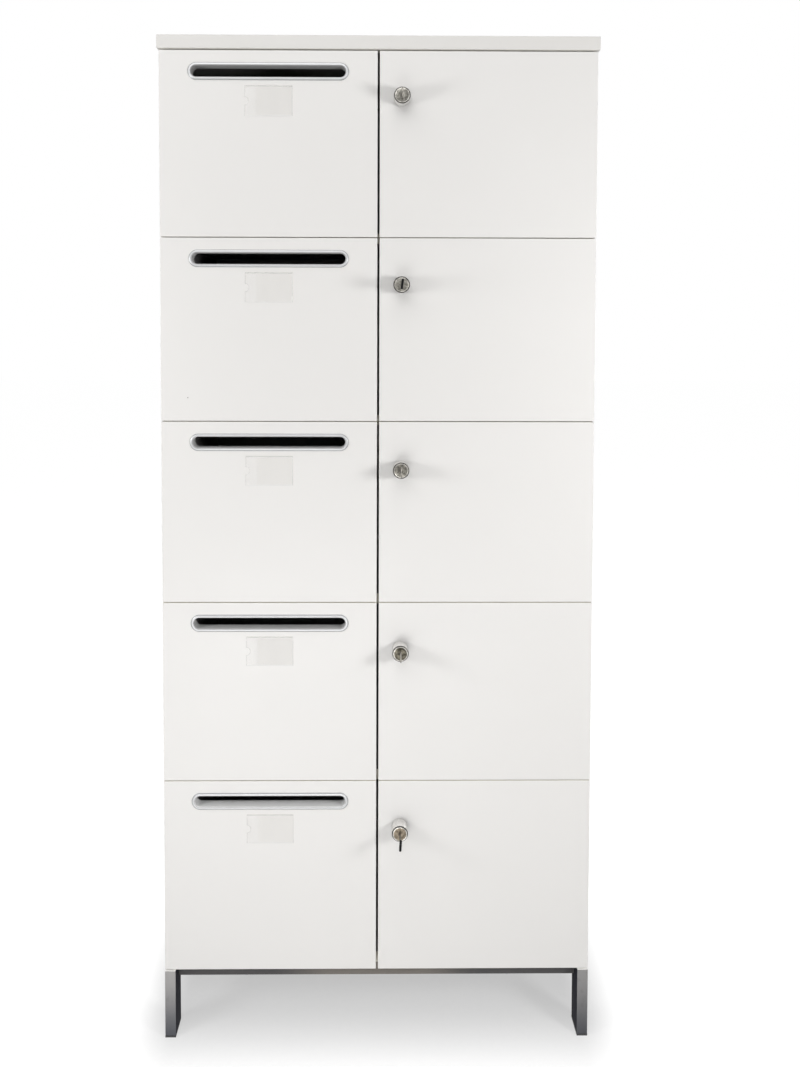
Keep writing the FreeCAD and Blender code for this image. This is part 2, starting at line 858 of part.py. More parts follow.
def lock_keeper():
    """Bracket on the left door: its tongue reaches down behind the turned cam."""
    body = doc.addObject("PartDesign::Body", "keeper")
    profile = sketch(body, "keeper_profile", "YZ_Plane")
    near = "(sleeve_end + cam_play + cam_thickness + keeper_play)"
    far = f"({near} + keeper_sheet)"
    step = "(cam_width / 2 + keeper_clear)"
    outline = [
        ("0", step),
        (near, step),
        (near, "-cam_width / 2"),
        (far, "-cam_width / 2"),
        (far, f"{step} + keeper_sheet"),
        ("keeper_sheet", f"{step} + keeper_sheet"),
        ("keeper_sheet", f"{step} + keeper_sheet + keeper_foot"),
        ("0", f"{step} + keeper_sheet + keeper_foot"),
    ]
    polygon(profile, outline)
    pad(body, profile, "keeper_width")
    return body


slot_frame = letter_slot_frame()
pocket_sheet = label_pocket()
housing = lock_housing()
plug_set = lock_plug()
plain_key = bare_key()
black_key = covered_key()
keeper = lock_keeper()

for row in EVERY_ROW:
    top = door_top(row)
    lock_height = f"{top} - lock_drop"
    lock_place = ("lock_inset", DOOR_FRONT, lock_height)
    keeper_x = "-(centre_gap / 2 + keeper_edge + keeper_width)"
    frame_place = (LEFT_MIDDLE, DOOR_FRONT, f"{top} - slot_drop")
    pocket_place = (LEFT_MIDDLE, DOOR_FRONT, f"{top} - pocket_drop")
    keep(place(group(f"letter_slot_frame_{row}", [slot_frame]), *frame_place))
    keep(place(group(f"label_pocket_{row}", [pocket_sheet]), *pocket_place))
    keep(place(group(f"lock_keeper_{row}", [keeper]), keeper_x, DOOR_BACK, lock_height))
    keep(place(group(f"lock_housing_{row}", housing), *lock_place))
    key_pieces = black_key if row in BLACK_KEY_ROWS else plain_key
    for turned in (group(f"lock_plug_{row}", plug_set), group(f"key_{row}", key_pieces)):
        if row == TURNED_KEY_ROW:
            turned.Placement = FreeCAD.Placement(
                FreeCAD.Vector(), FreeCAD.Rotation(FreeCAD.Vector(0, 1, 0), 1)
            )
            bind(turned, "Placement.Rotation.Angle", "key_turn")
        keep(place(turned, *lock_place))

# Check every object, then write one file for each node

doc.recompute()
failed = [thing.Name for thing in doc.Objects if {"Invalid", "Error"} & set(thing.State)]
if failed:
    raise RuntimeError(f"failed objects: {failed}")
for node in nodes:
    if node.Shape.isNull() or not node.Shape.isValid() or not node.Shape.Solids:
        raise RuntimeError(f"bad shape: {node.Label}")
os.makedirs("parts", exist_ok=True)
for node in nodes:
    node.Shape.exportStep(f"parts/{node.Label}.step")
    print(node.Label, len(node.Shape.Solids), round(node.Shape.Volume))
print("nodes", len(nodes))
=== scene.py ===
# %% [markdown]
# # A white locker with five rows of paired doors
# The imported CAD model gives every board, hinge, lock and key its place, in metres. This lesson dresses
# it: first the camera, the light and the floor, then the finishes, and then the small pieces whose edges
# and details the camera sees. The CAD nodes are never moved. A node either gets a better finish or is
# replaced by a finer piece.

# %% Load the model
import math
import bmesh
import bpy
from mathutils import Matrix, Vector


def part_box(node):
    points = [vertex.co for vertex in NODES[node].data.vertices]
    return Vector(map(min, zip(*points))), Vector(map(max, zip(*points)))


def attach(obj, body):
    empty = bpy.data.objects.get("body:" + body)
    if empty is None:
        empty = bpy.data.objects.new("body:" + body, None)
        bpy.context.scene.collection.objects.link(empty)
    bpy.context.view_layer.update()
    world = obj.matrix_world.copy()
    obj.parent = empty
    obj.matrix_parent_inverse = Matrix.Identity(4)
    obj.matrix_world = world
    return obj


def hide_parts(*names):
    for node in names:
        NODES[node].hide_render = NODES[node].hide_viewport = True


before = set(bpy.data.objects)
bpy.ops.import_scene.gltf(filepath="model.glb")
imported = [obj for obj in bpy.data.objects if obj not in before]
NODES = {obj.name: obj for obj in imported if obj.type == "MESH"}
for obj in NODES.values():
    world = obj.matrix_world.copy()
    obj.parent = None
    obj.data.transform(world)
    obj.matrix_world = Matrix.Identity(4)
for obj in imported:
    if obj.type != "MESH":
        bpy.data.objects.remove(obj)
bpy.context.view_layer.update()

# %% [markdown]
# The picture was taken from straight in front with a wide lens, and its upright lines were made parallel
# afterwards. A tilted camera could not show that, so the camera looks almost level and its lens is
# shifted down, as a view camera's is. The numbers come from fitting the corners of the ten doors.

# %% Camera
# The photograph's size, focal length and lens middle in pixels, and the sensor in millimetres
PHOTO_WIDTH = 800
PHOTO_HEIGHT = 1067
FOCAL_LENGTH = 774
LENS_MIDDLE = (380.85, 343.67)
SENSOR = 36
DOOR_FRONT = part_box("door_left_1")[0].y
# In metres and in degrees
CAMERA_PLACE = (-0.0061, DOOR_FRONT - 1.4224, 1.3632)
CAMERA_TURN = (88.0506, -0.1345, -0.4345)

lens = bpy.data.cameras.new("view_camera")
lens.sensor_width = SENSOR
lens.lens = SENSOR * FOCAL_LENGTH / PHOTO_HEIGHT
lens.shift_x = (PHOTO_WIDTH / 2 - LENS_MIDDLE[0]) / PHOTO_HEIGHT
lens.shift_y = (LENS_MIDDLE[1] - PHOTO_HEIGHT / 2) / PHOTO_HEIGHT
camera = bpy.data.objects.new("view_camera", lens)
camera.location = CAMERA_PLACE
camera.rotation_euler = [math.radians(turn) for turn in CAMERA_TURN]
bpy.context.scene.collection.objects.link(camera)
bpy.context.scene.camera = camera
bpy.context.scene.view_settings.view_transform = "Standard"
print("lens", round(lens.lens, 2), "mm, shift", round(lens.shift_x, 4), round(lens.shift_y, 4))

# %% [markdown]
# A finish is a tree of shader nodes. Writing trees by hand hides the idea behind the wiring, so a wire
# between nodes is wrapped in a small class: wires add and multiply like numbers, and each sum adds its
# Math node. One method makes every other node.

# %% Wires and paints
class Wire:
    """The output of a node, which can be used in sums."""

    def __init__(self, paint, socket):
        self.paint = paint
        self.socket = socket

    def out(self, name):
        """Another output of the same node."""
        return Wire(self.paint, self.socket.node.outputs[name])

    def __add__(self, other):
        return self.paint.sum("ADD", self, other)

    def __sub__(self, other):
        return self.paint.sum("SUBTRACT", self, other)

    def __rsub__(self, other):
        return self.paint.sum("SUBTRACT", other, self)

    def __mul__(self, other):
        return self.paint.sum("MULTIPLY", self, other)

    __radd__ = __add__
    __rmul__ = __mul__


class Paint:
    """The node tree of a material or of the world."""

    def __init__(self, owner):
        owner.use_nodes = True
        self.owner = owner
        self.tree = owner.node_tree

    def feed(self, socket, value):
        """Links a wire to a socket, or sets the socket to a constant."""
        if isinstance(value, Wire):
            self.tree.links.new(value.socket, socket)
        elif isinstance(value, tuple) and socket.type == "RGBA":
            socket.default_value = (*value, 1)
        else:
            socket.default_value = value

    def node(self, kind, settings=None, inputs=None, output=0):
        """Any node: its type, its settings, what its sockets hold, and the output that is wanted."""
        made = self.tree.nodes.new("ShaderNode" + kind)
        for name, value in (settings or {}).items():
            setattr(made, name, value)
        for name, value in (inputs or {}).items():
            self.feed(made.inputs[name], value)
        return Wire(self, made.outputs[output])

    def sum(self, operation, first, second):
        return self.node("Math", {"operation": operation}, {0: first, 1: second})

    def shader(self, **inputs):
        """Sets or feeds sockets of the material's Principled shader: base_color is Base Color."""
        sockets = {socket.name.lower(): socket for socket in self.tree.nodes["Principled BSDF"].inputs}
        for name, value in inputs.items():
            self.feed(sockets[name.replace("_", " ")], value)


print("classes", Wire.__name__, Paint.__name__)

# %% [markdown]
# The photograph's background is white, with a soft shadow under the locker and soft shadows on both sides
# of each knob. The shadows rise beside the highest knob and fall beside the lowest, so each side has a
# lamp at a height between the two. The shadows on the left are darker, which says that the right lamp is
# the stronger one. Two softer lamps in front, one low and one near the ceiling, one lamp behind, and a
# pale room fill the rest. Rays from the camera and mirror rays see the room as plain white. The light
# that the room throws on the locker is set apart from that, so the white behind does not wash it out.
# Polished knobs would also throw bright flecks into their own shadows. The photograph shows none, so
# light that metal throws onto other surfaces is left out.

# %% Room and lamps
# Light of the room, as a share of the white that the camera sees
AMBIENT = 0.09
# Each lamp: its place, the height it aims at, its size in metres and its power in watts
LAMPS = {
    "lamp_left": ((-1.6, DOOR_FRONT - 0.75, 1.32), 1.1, 0.5, 13.0),
    "lamp_right": ((1.5, DOOR_FRONT - 1.05, 1.32), 1.1, 0.45, 18.5),
    "lamp_low": ((-0.24, DOOR_FRONT - 1.1, 0.12), 0.2, 1.0, 8.3),
    "lamp_high": ((-0.4, DOOR_FRONT - 1.0, 2.9), 1.4, 2.0, 22.0),
    "lamp_back": ((0.0, 2.4, 2.2), 1.0, 1.6, 30.0),
}


def seen(paint):
    """1 for the rays that look at the background, 0 for those that carry its light."""
    path = paint.node("LightPath", None, None, "Is Camera Ray")
    rays = path + path.out("Is Glossy Ray") + path.out("Is Transmission Ray")
    return paint.sum("MINIMUM", rays, 1)


world = bpy.data.worlds.new("pale_room")
bpy.context.scene.world = world
room = Paint(world)
brightness = AMBIENT + (1 - AMBIENT) * seen(room)
room.feed(room.tree.nodes["Background"].inputs["Color"], (1.0, 1.0, 1.0))
room.feed(room.tree.nodes["Background"].inputs["Strength"], brightness)

for name, (place, aim, size, watts) in LAMPS.items():
    lamp = bpy.data.lights.new(name, "AREA")
    lamp.size = size
    lamp.energy = watts
    holder = bpy.data.objects.new(name, lamp)
    holder.location = place
    holder.visible_camera = False
    beam = Vector((0, DOOR_FRONT, aim)) - holder.location
    holder.rotation_euler = beam.to_track_quat("-Z", "Y").to_euler()
    bpy.context.scene.collection.objects.link(holder)
bpy.context.scene.cycles.caustics_reflective = False
print("lamps", list(LAMPS))

# %% [markdown]
# Real surfaces are never quite even. Their unevenness could come from pictures, but those have an end and
# a size. A finish here mixes two colours by a cloudy noise or by a soft step. Each of these nodes gets a
# function, and so does a new material.

# %% Patterns
def new_paint(name):
    """A new material, its paint, and the Object coordinates that its patterns lie in."""
    paint = Paint(bpy.data.materials.new(name))
    return paint, paint.node("TexCoord", None, None, "Object")


def blend(paint, mask, first, second):
    """A colour between two colours, by a mask from 0 to 1."""
    # Sockets 6 and 7 of a Mix node take colours, and its output 2 gives one
    inputs = {0: mask, 6: first, 7: second}
    return paint.node("Mix", {"data_type": "RGBA"}, inputs, 2)


def ease(paint, value, low, high):
    """0 below low, 1 above high, and smooth between them."""
    settings = {"interpolation_type": "SMOOTHSTEP"}
    return paint.node("MapRange", settings, {"Value": value, "From Min": low, "From Max": high})


def noise(paint, where, scale=1.0, detail=2.0):
    """Cloudy pattern from 0 to 1."""
    inputs = {"Vector": where, "Scale": scale, "Detail": detail}
    return paint.node("TexNoise", None, inputs)


print("patterns", blend.__name__, ease.__name__, noise.__name__)

# %% [markdown]
# The floor is one large sheet. To the camera it is white paper that keeps the locker's shadow. Part of
# its brightness is a glow that grows with the distance from the locker, so that the sheet turns into the
# white of the background without a seam, and the weaker glow round the locker paints part of its
# shadow. To the light that bounces back up it is a pale grey, as a real floor would be.

# %% Floor
FLOOR_SIZE = 30
# Greys of the paper and of the bounced light, and the glow near the locker and far from it
FLOOR_PAPER = 0.28
PAPER_GRAIN = 0.02
FLOOR_BOUNCE = 0.6
FLOOR_GLOW = (0.47, 0.97)
# Where the glow starts and where it is full, sideways and to the front, in metres from the middle
GLOW_SIDEWAYS = (0.375, 0.515)
GLOW_FORWARD = (0.115, 0.34)


def grey(value):
    return (value, value, value)


floor_shape = bmesh.new()
bmesh.ops.create_grid(floor_shape, x_segments=1, y_segments=1, size=FLOOR_SIZE / 2)
floor_mesh = bpy.data.meshes.new("floor")
floor_shape.to_mesh(floor_mesh)
floor_shape.free()
floor = bpy.data.objects.new("floor", floor_mesh)
bpy.context.scene.collection.objects.link(floor)
floor_paint, floor_place = new_paint("floor_paper")
looked_at = seen(floor_paint)
grain = noise(floor_paint, floor_place, scale=90.0)
paper = blend(floor_paint, grain, grey(FLOOR_PAPER), grey(FLOOR_PAPER + PAPER_GRAIN))
spread = floor_paint.node("VectorMath", {"operation": "ABSOLUTE"}, {0: floor_place})
spread = floor_paint.node("SeparateXYZ", None, {0: spread})
# Painted shadow: the glow is weaker in a soft box round the locker, which darkens the floor there
sideways = ease(floor_paint, spread.out("X"), *GLOW_SIDEWAYS)
forward = ease(floor_paint, spread.out("Y"), *GLOW_FORWARD)
far = 1 - (1 - sideways) * (1 - forward)
glow = blend(floor_paint, far, grey(FLOOR_GLOW[0]), grey(FLOOR_GLOW[1]))
floor_paint.shader(
    base_color=blend(floor_paint, looked_at, grey(FLOOR_BOUNCE), paper),
    roughness=0.9,
    specular_ior_level=0.0,
    emission_strength=1.0,
    emission_color=blend(floor_paint, looked_at, grey(0.0), glow),
)
floor_mesh.materials.append(floor_paint.owner)
print("floor", FLOOR_SIZE, "m")

# %% [markdown]
# The boards are chipboard with a white melamine face, and edge strips that turn a little more yellow than
# the faces. The strips could be separate pieces, but on a closed locker they are only thin lines, so one
# paint carries both and finds the strips by their depth: every door lies in the same layer, and every
# carcass board starts at the same plane. The openings look black although much light falls on the front,
# so the faces inside the compartments are painted grey as shade, and their box finds those faces.

# %% Strips and compartments
MM = 0.001
DOOR_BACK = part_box("door_left_1")[1].y
CARCASS_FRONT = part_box("shelves")[0].y
# Depths under a face between which it turns into an edge strip
DOOR_EDGE = (0.4 * MM, 1.0 * MM)
CARCASS_EDGE = (0.3 * MM, 0.9 * MM)
# Box of the compartments, and the width over which its mask ends
INSIDE_LOW = (
    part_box("side_panel_left")[1].x,
    CARCASS_FRONT + CARCASS_EDGE[1],
    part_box("bottom_panel")[1].z,
)
INSIDE_HIGH = (
    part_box("side_panel_right")[0].x,
    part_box("back_panel")[0].y,
    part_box("top_panel")[0].z,
)
INSIDE_MARGIN = 0.4 * MM


def inside_mask(paint, place):
    """1 on the faces that look into the compartments."""
    mask = 1
    for axis, low, high in zip("XYZ", INSIDE_LOW, INSIDE_HIGH):
        value = paint.node("SeparateXYZ", None, {0: place}, axis)
        begun = ease(paint, value, low - INSIDE_MARGIN, low)
        ended = ease(paint, value, high, high + INSIDE_MARGIN)
        mask = (begun - ended) * mask
    return mask


def door_strip(paint, depth):
    """1 between the front face and the back face of a door."""
    behind_front = ease(paint, depth, DOOR_FRONT + DOOR_EDGE[0], DOOR_FRONT + DOOR_EDGE[1])
    at_back = ease(paint, depth, DOOR_BACK - DOOR_EDGE[1], DOOR_BACK - DOOR_EDGE[0])
    return behind_front - at_back


def carcass_strip(paint, depth):
    """1 on the front edges of the carcass boards."""
    return 1 - ease(paint, depth, CARCASS_FRONT + CARCASS_EDGE[0], CARCASS_FRONT + CARCASS_EDGE[1])


print("compartments", [round(high - low, 3) for low, high in zip(INSIDE_LOW, INSIDE_HIGH)])

# %% [markdown]
# Close up, a melamine face has a fine pearl relief and a satin gloss that hands dull in places. A picture
# of such a face would repeat itself, so three noises of different sizes make the clouds in its tone, the
# dull places and the pearls.

# %% Laminate
WHITE = (0.80, 0.786, 0.766)
TOP_WHITE = (0.74, 0.725, 0.70)
STRIP = (0.76, 0.735, 0.65)
# Painted shade on the faces inside the compartments
INSIDE_SHADE = (0.50, 0.50, 0.505)
# A small dark chip in the front of the second left door
CHIP_PLACE = (-0.350, DOOR_FRONT, 1.2147)
CHIP_RADIUS = 1.1 * MM
CHIP_TONE = (0.12, 0.1, 0.09)


def bump(paint, height, depth):
    """Normal of a relief that is depth metres high."""
    return paint.node("Bump", None, {"Height": height, "Distance": depth})


def shaded(tone, share):
    """A colour made darker or lighter."""
    return tuple(value * share for value in tone)


def laminate(name, tone, strip_mask, chip=False):
    """Melamine face of a board. strip_mask turns the depth into 1 where an edge strip is."""
    paint, place = new_paint(name)
    depth = paint.node("SeparateXYZ", None, {0: place}, "Y")
    cloud = noise(paint, place, scale=2.5, detail=3.0)
    hands = ease(paint, noise(paint, place, scale=9.0, detail=4.0), low=0.45, high=0.75)
    face = blend(paint, cloud, shaded(tone, 0.975), shaded(tone, 1.012))
    # Painted shade on the faces that look into the compartments
    face = blend(paint, inside_mask(paint, place), face, INSIDE_SHADE)
    if strip_mask:
        face = blend(paint, strip_mask(paint, depth), face, STRIP)
    if chip:
        gap = paint.node("VectorMath", {"operation": "DISTANCE"}, {0: place, 1: CHIP_PLACE}, "Value")
        whole = ease(paint, gap, 0.6 * CHIP_RADIUS, CHIP_RADIUS)
        face = blend(paint, whole, CHIP_TONE, face)
    pearl = noise(paint, place, scale=900.0, detail=1.0)
    paint.shader(
        base_color=face,
        roughness=0.4 + 0.12 * hands,
        specular_ior_level=0.45,
        normal=bump(paint, pearl, depth=0.012 * MM),
    )
    return paint.owner


DOOR_LAMINATE = laminate("door_laminate", WHITE, door_strip, chip=True)
CARCASS_LAMINATE = laminate("carcass_laminate", WHITE, carcass_strip)
TOP_LAMINATE = laminate("top_laminate", TOP_WHITE, None)
print("laminates", DOOR_LAMINATE.name, CARCASS_LAMINATE.name, TOP_LAMINATE.name)

# %% [markdown]
# A CAD node comes with a material slot for each of its materials. The boards keep their shapes, so
# dressing them means no more than putting the new finish into these slots.

# %% Boards
ROWS = range(1, 6)
CARCASS_BOARDS = ("side_panel_left", "side_panel_right", "bottom_panel", "shelves")


def dress(node, finish):
    """Gives a CAD node a finish in every material slot."""
    for slot in NODES[node].material_slots:
        slot.material = finish


for row in ROWS:
    dress(f"door_left_{row}", DOOR_LAMINATE)
    dress(f"door_right_{row}", DOOR_LAMINATE)
for node in CARCASS_BOARDS:
    dress(node, CARCASS_LAMINATE)
dress("top_panel", TOP_LAMINATE)
print("board nodes dressed", 2 * len(ROWS) + len(CARCASS_BOARDS) + 1)

# %% [markdown]
# The back is a thinner board. Its plain white foil is duller than the melamine and shows the fibres
# underneath, so its relief is a noise drawn out along the board.

# %% Back board
def stretch(paint, where, scale):
    """Coordinates scaled along each axis, for brushed or rolled patterns."""
    return paint.node("Mapping", None, {"Vector": where, "Scale": scale})


back_paint, back_place = new_paint("back_foil")
fibres = noise(back_paint, stretch(back_paint, back_place, (500.0, 500.0, 60.0)), detail=3.0)
back_cloud = noise(back_paint, back_place, scale=4.0, detail=4.0)
foil = blend(back_paint, back_cloud, (0.70, 0.69, 0.67), (0.76, 0.75, 0.73))
back_paint.shader(
    # Painted shade where the back faces into the compartments
    base_color=blend(back_paint, inside_mask(back_paint, back_place), foil, INSIDE_SHADE),
    roughness=0.5 + 0.2 * fibres,
    normal=bump(back_paint, fibres, depth=0.03 * MM),
)
dress("back_panel", back_paint.owner)
print("back board dressed")

# %% [markdown]
# The base is welded from rectangular steel tube in satin grey, with scattered scuffs. Its inner faces
# and its rails lie under the locker and get painted shade, darkest on the rails next to the legs. The
# legs' fronts get a painted reflection: pale under the doors and much darker towards the floor. A white
# plastic cap closes each leg, and shows as a bright line under the doors. All of this depends on the
# place alone, so the paint reads the place: the height, and how far a point lies inside the outer faces.

# %% Steel base
BASE_LOW, BASE_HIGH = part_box("base_frame")
LEG_WIDTH = 20 * MM
# Half the distance between the left and the right legs
LEG_SIDE = BASE_HIGH.x - LEG_WIDTH
# How far inside the outer edges the painted shade of the inner faces starts
SHADE_MARGIN = 1.0 * MM
# Where the white cap starts and where it is full, below the legs' ends
CAP_LINE = (0.5 * MM, 0.2 * MM)
# Painted reflection on the legs: dark near the floor, pale under the doors
STEEL_DARK_REFLECTION = (0.085, 0.09, 0.108)
STEEL_PALE_REFLECTION = (0.385, 0.375, 0.37)
DARKENED_STEEL = (0.08, 0.08, 0.082)
# Painted shade on the rails: darkest next to the legs, lighter in the middle
RAIL_SHADE_BY_LEGS = (0.115, 0.112, 0.112)
RAIL_SHADE_MIDDLE = (0.24, 0.222, 0.20)
# Painted shade on the legs' inner faces
INNER_FACE_SHADE = (0.026, 0.026, 0.033)
CAP_WHITE = (0.95, 0.945, 0.935)

base_paint, base_place = new_paint("base_steel")
parts = base_paint.node("SeparateXYZ", None, {0: base_place})
height = parts.out("Z")
across = base_paint.node("Math", {"operation": "ABSOLUTE"}, {0: parts.out("X")})
brushed = noise(base_paint, stretch(base_paint, base_place, (900.0, 900.0, 14.0)), detail=3.0)
scuffs = ease(base_paint, noise(base_paint, base_place, scale=60.0, detail=5.0), low=0.55, high=0.8)
# Painted reflection: the legs' steel darkens towards the floor
reflection_height = ease(base_paint, height, low=-0.02, high=BASE_HIGH.z)
steel = blend(base_paint, reflection_height, STEEL_DARK_REFLECTION, STEEL_PALE_REFLECTION)
# The steel is darker towards the right side, and scuffs darken it in places
darker_to_right = 0.3 * ease(base_paint, parts.out("X"), low=-0.2, high=0.2)
reflected_and_scuffed = blend(base_paint, darker_to_right + 0.2 * scuffs, steel, DARKENED_STEEL)

by_leg = ease(base_paint, across, LEG_SIDE - SHADE_MARGIN, LEG_SIDE - SHADE_MARGIN / 2)
outer = ease(base_paint, across, BASE_HIGH.x - SHADE_MARGIN, BASE_HIGH.x - SHADE_MARGIN / 2)
inside_front = ease(base_paint, parts.out("Y"), BASE_LOW.y + SHADE_MARGIN / 2, BASE_LOW.y + SHADE_MARGIN)
inside_back = 1 - ease(base_paint, parts.out("Y"), BASE_HIGH.y - SHADE_MARGIN, BASE_HIGH.y - SHADE_MARGIN / 2)
inside = (1 - outer) * inside_front * inside_back
# Painted shade on the rails, lighter towards the middle
rail_middle = 1 - ease(base_paint, across, low=0.08, high=0.2)
rail = blend(base_paint, rail_middle, RAIL_SHADE_BY_LEGS, RAIL_SHADE_MIDDLE)
# Painted shade on every face but the front, back and outer ones: rail tones between the legs, a dark tone on
# the legs
inner_shade = blend(base_paint, by_leg, rail, INNER_FACE_SHADE)
steel_and_shade = blend(base_paint, inside, reflected_and_scuffed, inner_shade)
capped = ease(base_paint, height, BASE_HIGH.z - CAP_LINE[0], BASE_HIGH.z - CAP_LINE[1])
base_paint.shader(
    base_color=blend(base_paint, capped, steel_and_shade, CAP_WHITE),
    roughness=0.4 + 0.1 * brushed + 0.1 * scuffs + 0.4 * inside,
    specular_ior_level=0.1,
    normal=bump(base_paint, brushed, depth=0.01 * MM),
)
BASE_STEEL = base_paint.owner
print("base painted, legs end at", round(BASE_HIGH.z, 4))

# %% [markdown]
# The legs stand on black plastic feet. Little of them shows, so a dark tone with a fine speckle is
# enough.

# %% Feet
glide_paint, glide_place = new_paint("glide_plastic")
speckle = noise(glide_paint, glide_place, scale=800.0, detail=2.0)
glide_paint.shader(
    base_color=blend(glide_paint, speckle, (0.035, 0.035, 0.038), (0.06, 0.06, 0.063)),
    roughness=0.5 + 0.15 * speckle,
    normal=bump(glide_paint, speckle, depth=0.03 * MM),
)
dress("foot_glides", glide_paint.owner)
print("feet dressed", glide_paint.owner.name)

# %% [markdown]
# Hinges, screws and the keepers behind the doors are plated steel: bright metal with a slightly cloudy
# polish and fine rubbing marks. The platings differ only in colour and polish, so one function paints
# them. Stamped metal has no knife edges, so three modifiers round them: doubled vertices are welded, flat
# triangles dissolve into whole faces, and the edges that are left get a small bevel.

# %% Plated steel
DOUBLES = 0.002 * MM
FLAT_ANGLE = math.radians(1)
SHARP_ANGLE = math.radians(50)


def plated(name, tone, polish, cloudiness):
    """Plated metal. Its polish is clouded, and it has fine rubbing marks."""
    paint, place = new_paint(name)
    cloud = noise(paint, place, scale=120.0, detail=4.0)
    rubs = noise(paint, stretch(paint, place, (2200.0, 500.0, 500.0)), detail=2.0)
    paint.shader(
        base_color=blend(paint, cloud, shaded(tone, 0.82), tone),
        metallic=1.0,
        roughness=polish + cloudiness * cloud + 0.06 * rubs,
        normal=bump(paint, rubs, depth=0.004 * MM),
    )
    return paint.owner


HINGE_NICKEL = plated("hinge_nickel", (0.66, 0.64, 0.60), polish=0.16, cloudiness=0.16)
SCREW_ZINC = plated("screw_zinc", (0.60, 0.61, 0.63), polish=0.22, cloudiness=0.18)
KEEPER_ZINC = plated("keeper_zinc", (0.58, 0.59, 0.60), polish=0.26, cloudiness=0.2)
# Plated nodes: the finish, and how far the edges are rounded
PLATED_NODES = {"hinge_arms": (HINGE_NICKEL, 0.3 * MM), "screws": (SCREW_ZINC, 0.25 * MM)}
for row in ROWS:
    PLATED_NODES[f"hinge_cups_left_{row}"] = (HINGE_NICKEL, 0.2 * MM)
    PLATED_NODES[f"hinge_cups_right_{row}"] = (HINGE_NICKEL, 0.2 * MM)
    PLATED_NODES[f"lock_keeper_{row}"] = (KEEPER_ZINC, 0.3 * MM)


def soften(node, width):
    """Rounds the hard edges of a CAD node."""
    target = NODES[node]
    weld = target.modifiers.new("weld", "WELD")
    weld.merge_threshold = DOUBLES
    flat = target.modifiers.new("flat", "DECIMATE")
    flat.decimate_type = "DISSOLVE"
    flat.angle_limit = FLAT_ANGLE
    soft = target.modifiers.new("soft", "BEVEL")
    soft.width = width
    soft.segments = 2
    soft.limit_method = "ANGLE"
    soft.angle_limit = SHARP_ANGLE
    soft.use_clamp_overlap = False


for node, (finish, width) in PLATED_NODES.items():
    dress(node, finish)
    soften(node, width)
print("plated nodes dressed and softened", len(PLATED_NODES))

# %% [markdown]
# From here on, new pieces replace CAD nodes or join them. Each starts as an empty bmesh, gets its shape
# from bmesh operators, and becomes an object that rides on a body of the model.

# %% Making a piece
SMOOTH_UP_TO = math.radians(35)


def piece(name, shape, finishes, body, node=None):
    """Turns a bmesh into an object that rides on a body, and hides the node that it replaces."""
    mesh = bpy.data.meshes.new(name)
    shape.to_mesh(mesh)
    shape.free()
    mesh.shade_smooth()
    mesh.set_sharp_from_angle(angle=SMOOTH_UP_TO)
    for finish in finishes:
        mesh.materials.append(finish)
    made = bpy.data.objects.new(name, mesh)
    bpy.context.scene.collection.objects.link(made)
    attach(made, body)
    if node:
        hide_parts(node)


print("pieces are smooth up to", round(math.degrees(SMOOTH_UP_TO)), "degrees")

# %% [markdown]
# The base makes a simple start. Each of its eight tubes is a box with rounded edges: four legs as high as
# the base, two side rails from leg to leg, and two cross rails that are set back from the legs' outer
# faces.

# %% Base tubes
LEG_DEPTH = 40 * MM
RAIL_HEIGHT = 25 * MM
RAIL_DEPTH = 20 * MM
TUBE_ROUNDING = 0.8 * MM


def edges_among(verts):
    """The edges that run between some vertices."""
    chosen = set(verts)
    near = dict.fromkeys(edge for vert in verts for edge in vert.link_edges)
    return [edge for edge in near if chosen.issuperset(edge.verts)]


def box_between(shape, low, high):
    """Box with opposite corners at low and high. Returns its vertices."""
    verts = bmesh.ops.create_cube(shape, size=1)["verts"]
    bmesh.ops.scale(shape, verts=verts, vec=high - low)
    bmesh.ops.translate(shape, verts=verts, vec=(low + high) / 2)
    return verts


def rounded(shape, edges, width, steps=2):
    """Rounds edges with a bevel."""
    bmesh.ops.bevel(
        shape, geom=edges, offset=width, affect="EDGES", segments=steps, profile=0.5, material=-1
    )


def base_tubes():
    """All tubes as one piece, each given by its spans along X, Y and Z."""
    front = BASE_LOW.y + LEG_DEPTH
    rear = BASE_HIGH.y - LEG_DEPTH
    rail = (BASE_HIGH.z - RAIL_HEIGHT, BASE_HIGH.z)
    spans = [
        ((-LEG_SIDE, LEG_SIDE), (front - RAIL_DEPTH, front), rail),
        ((-LEG_SIDE, LEG_SIDE), (rear, rear + RAIL_DEPTH), rail),
    ]
    for across in ((BASE_LOW.x, -LEG_SIDE), (LEG_SIDE, BASE_HIGH.x)):
        spans.append((across, (front, rear), rail))
        for along in ((BASE_LOW.y, front), (rear, BASE_HIGH.y)):
            spans.append((across, along, (BASE_LOW.z, BASE_HIGH.z)))
    shape = bmesh.new()
    for span in spans:
        low, high = (Vector(corner) for corner in zip(*span))
        rounded(shape, edges_among(box_between(shape, low, high)), TUBE_ROUNDING)
    piece("base_tubes", shape, (BASE_STEEL,), "carcass", "base_frame")
    return len(spans)


print("base tubes", base_tubes())

# %% [markdown]
# The letter slots have frames of silver-coloured plastic. Its flakes are far too small to model, so two
# noises stand for them: a coarse one lets the tone drift, and a fine one roughens the gloss.

# %% Silver finishes
def silver(name, dark, light, metal, polish):
    """Silver-coloured plastic with fine flakes."""
    paint, place = new_paint(name)
    flakes = noise(paint, place, scale=1500.0, detail=2.0)
    cloud = noise(paint, place, scale=35.0, detail=3.0)
    paint.shader(
        base_color=blend(paint, cloud, dark, light),
        metallic=metal,
        roughness=polish + 0.1 * cloud + 0.06 * flakes,
        normal=bump(paint, flakes, depth=0.006 * MM),
    )
    return paint.owner


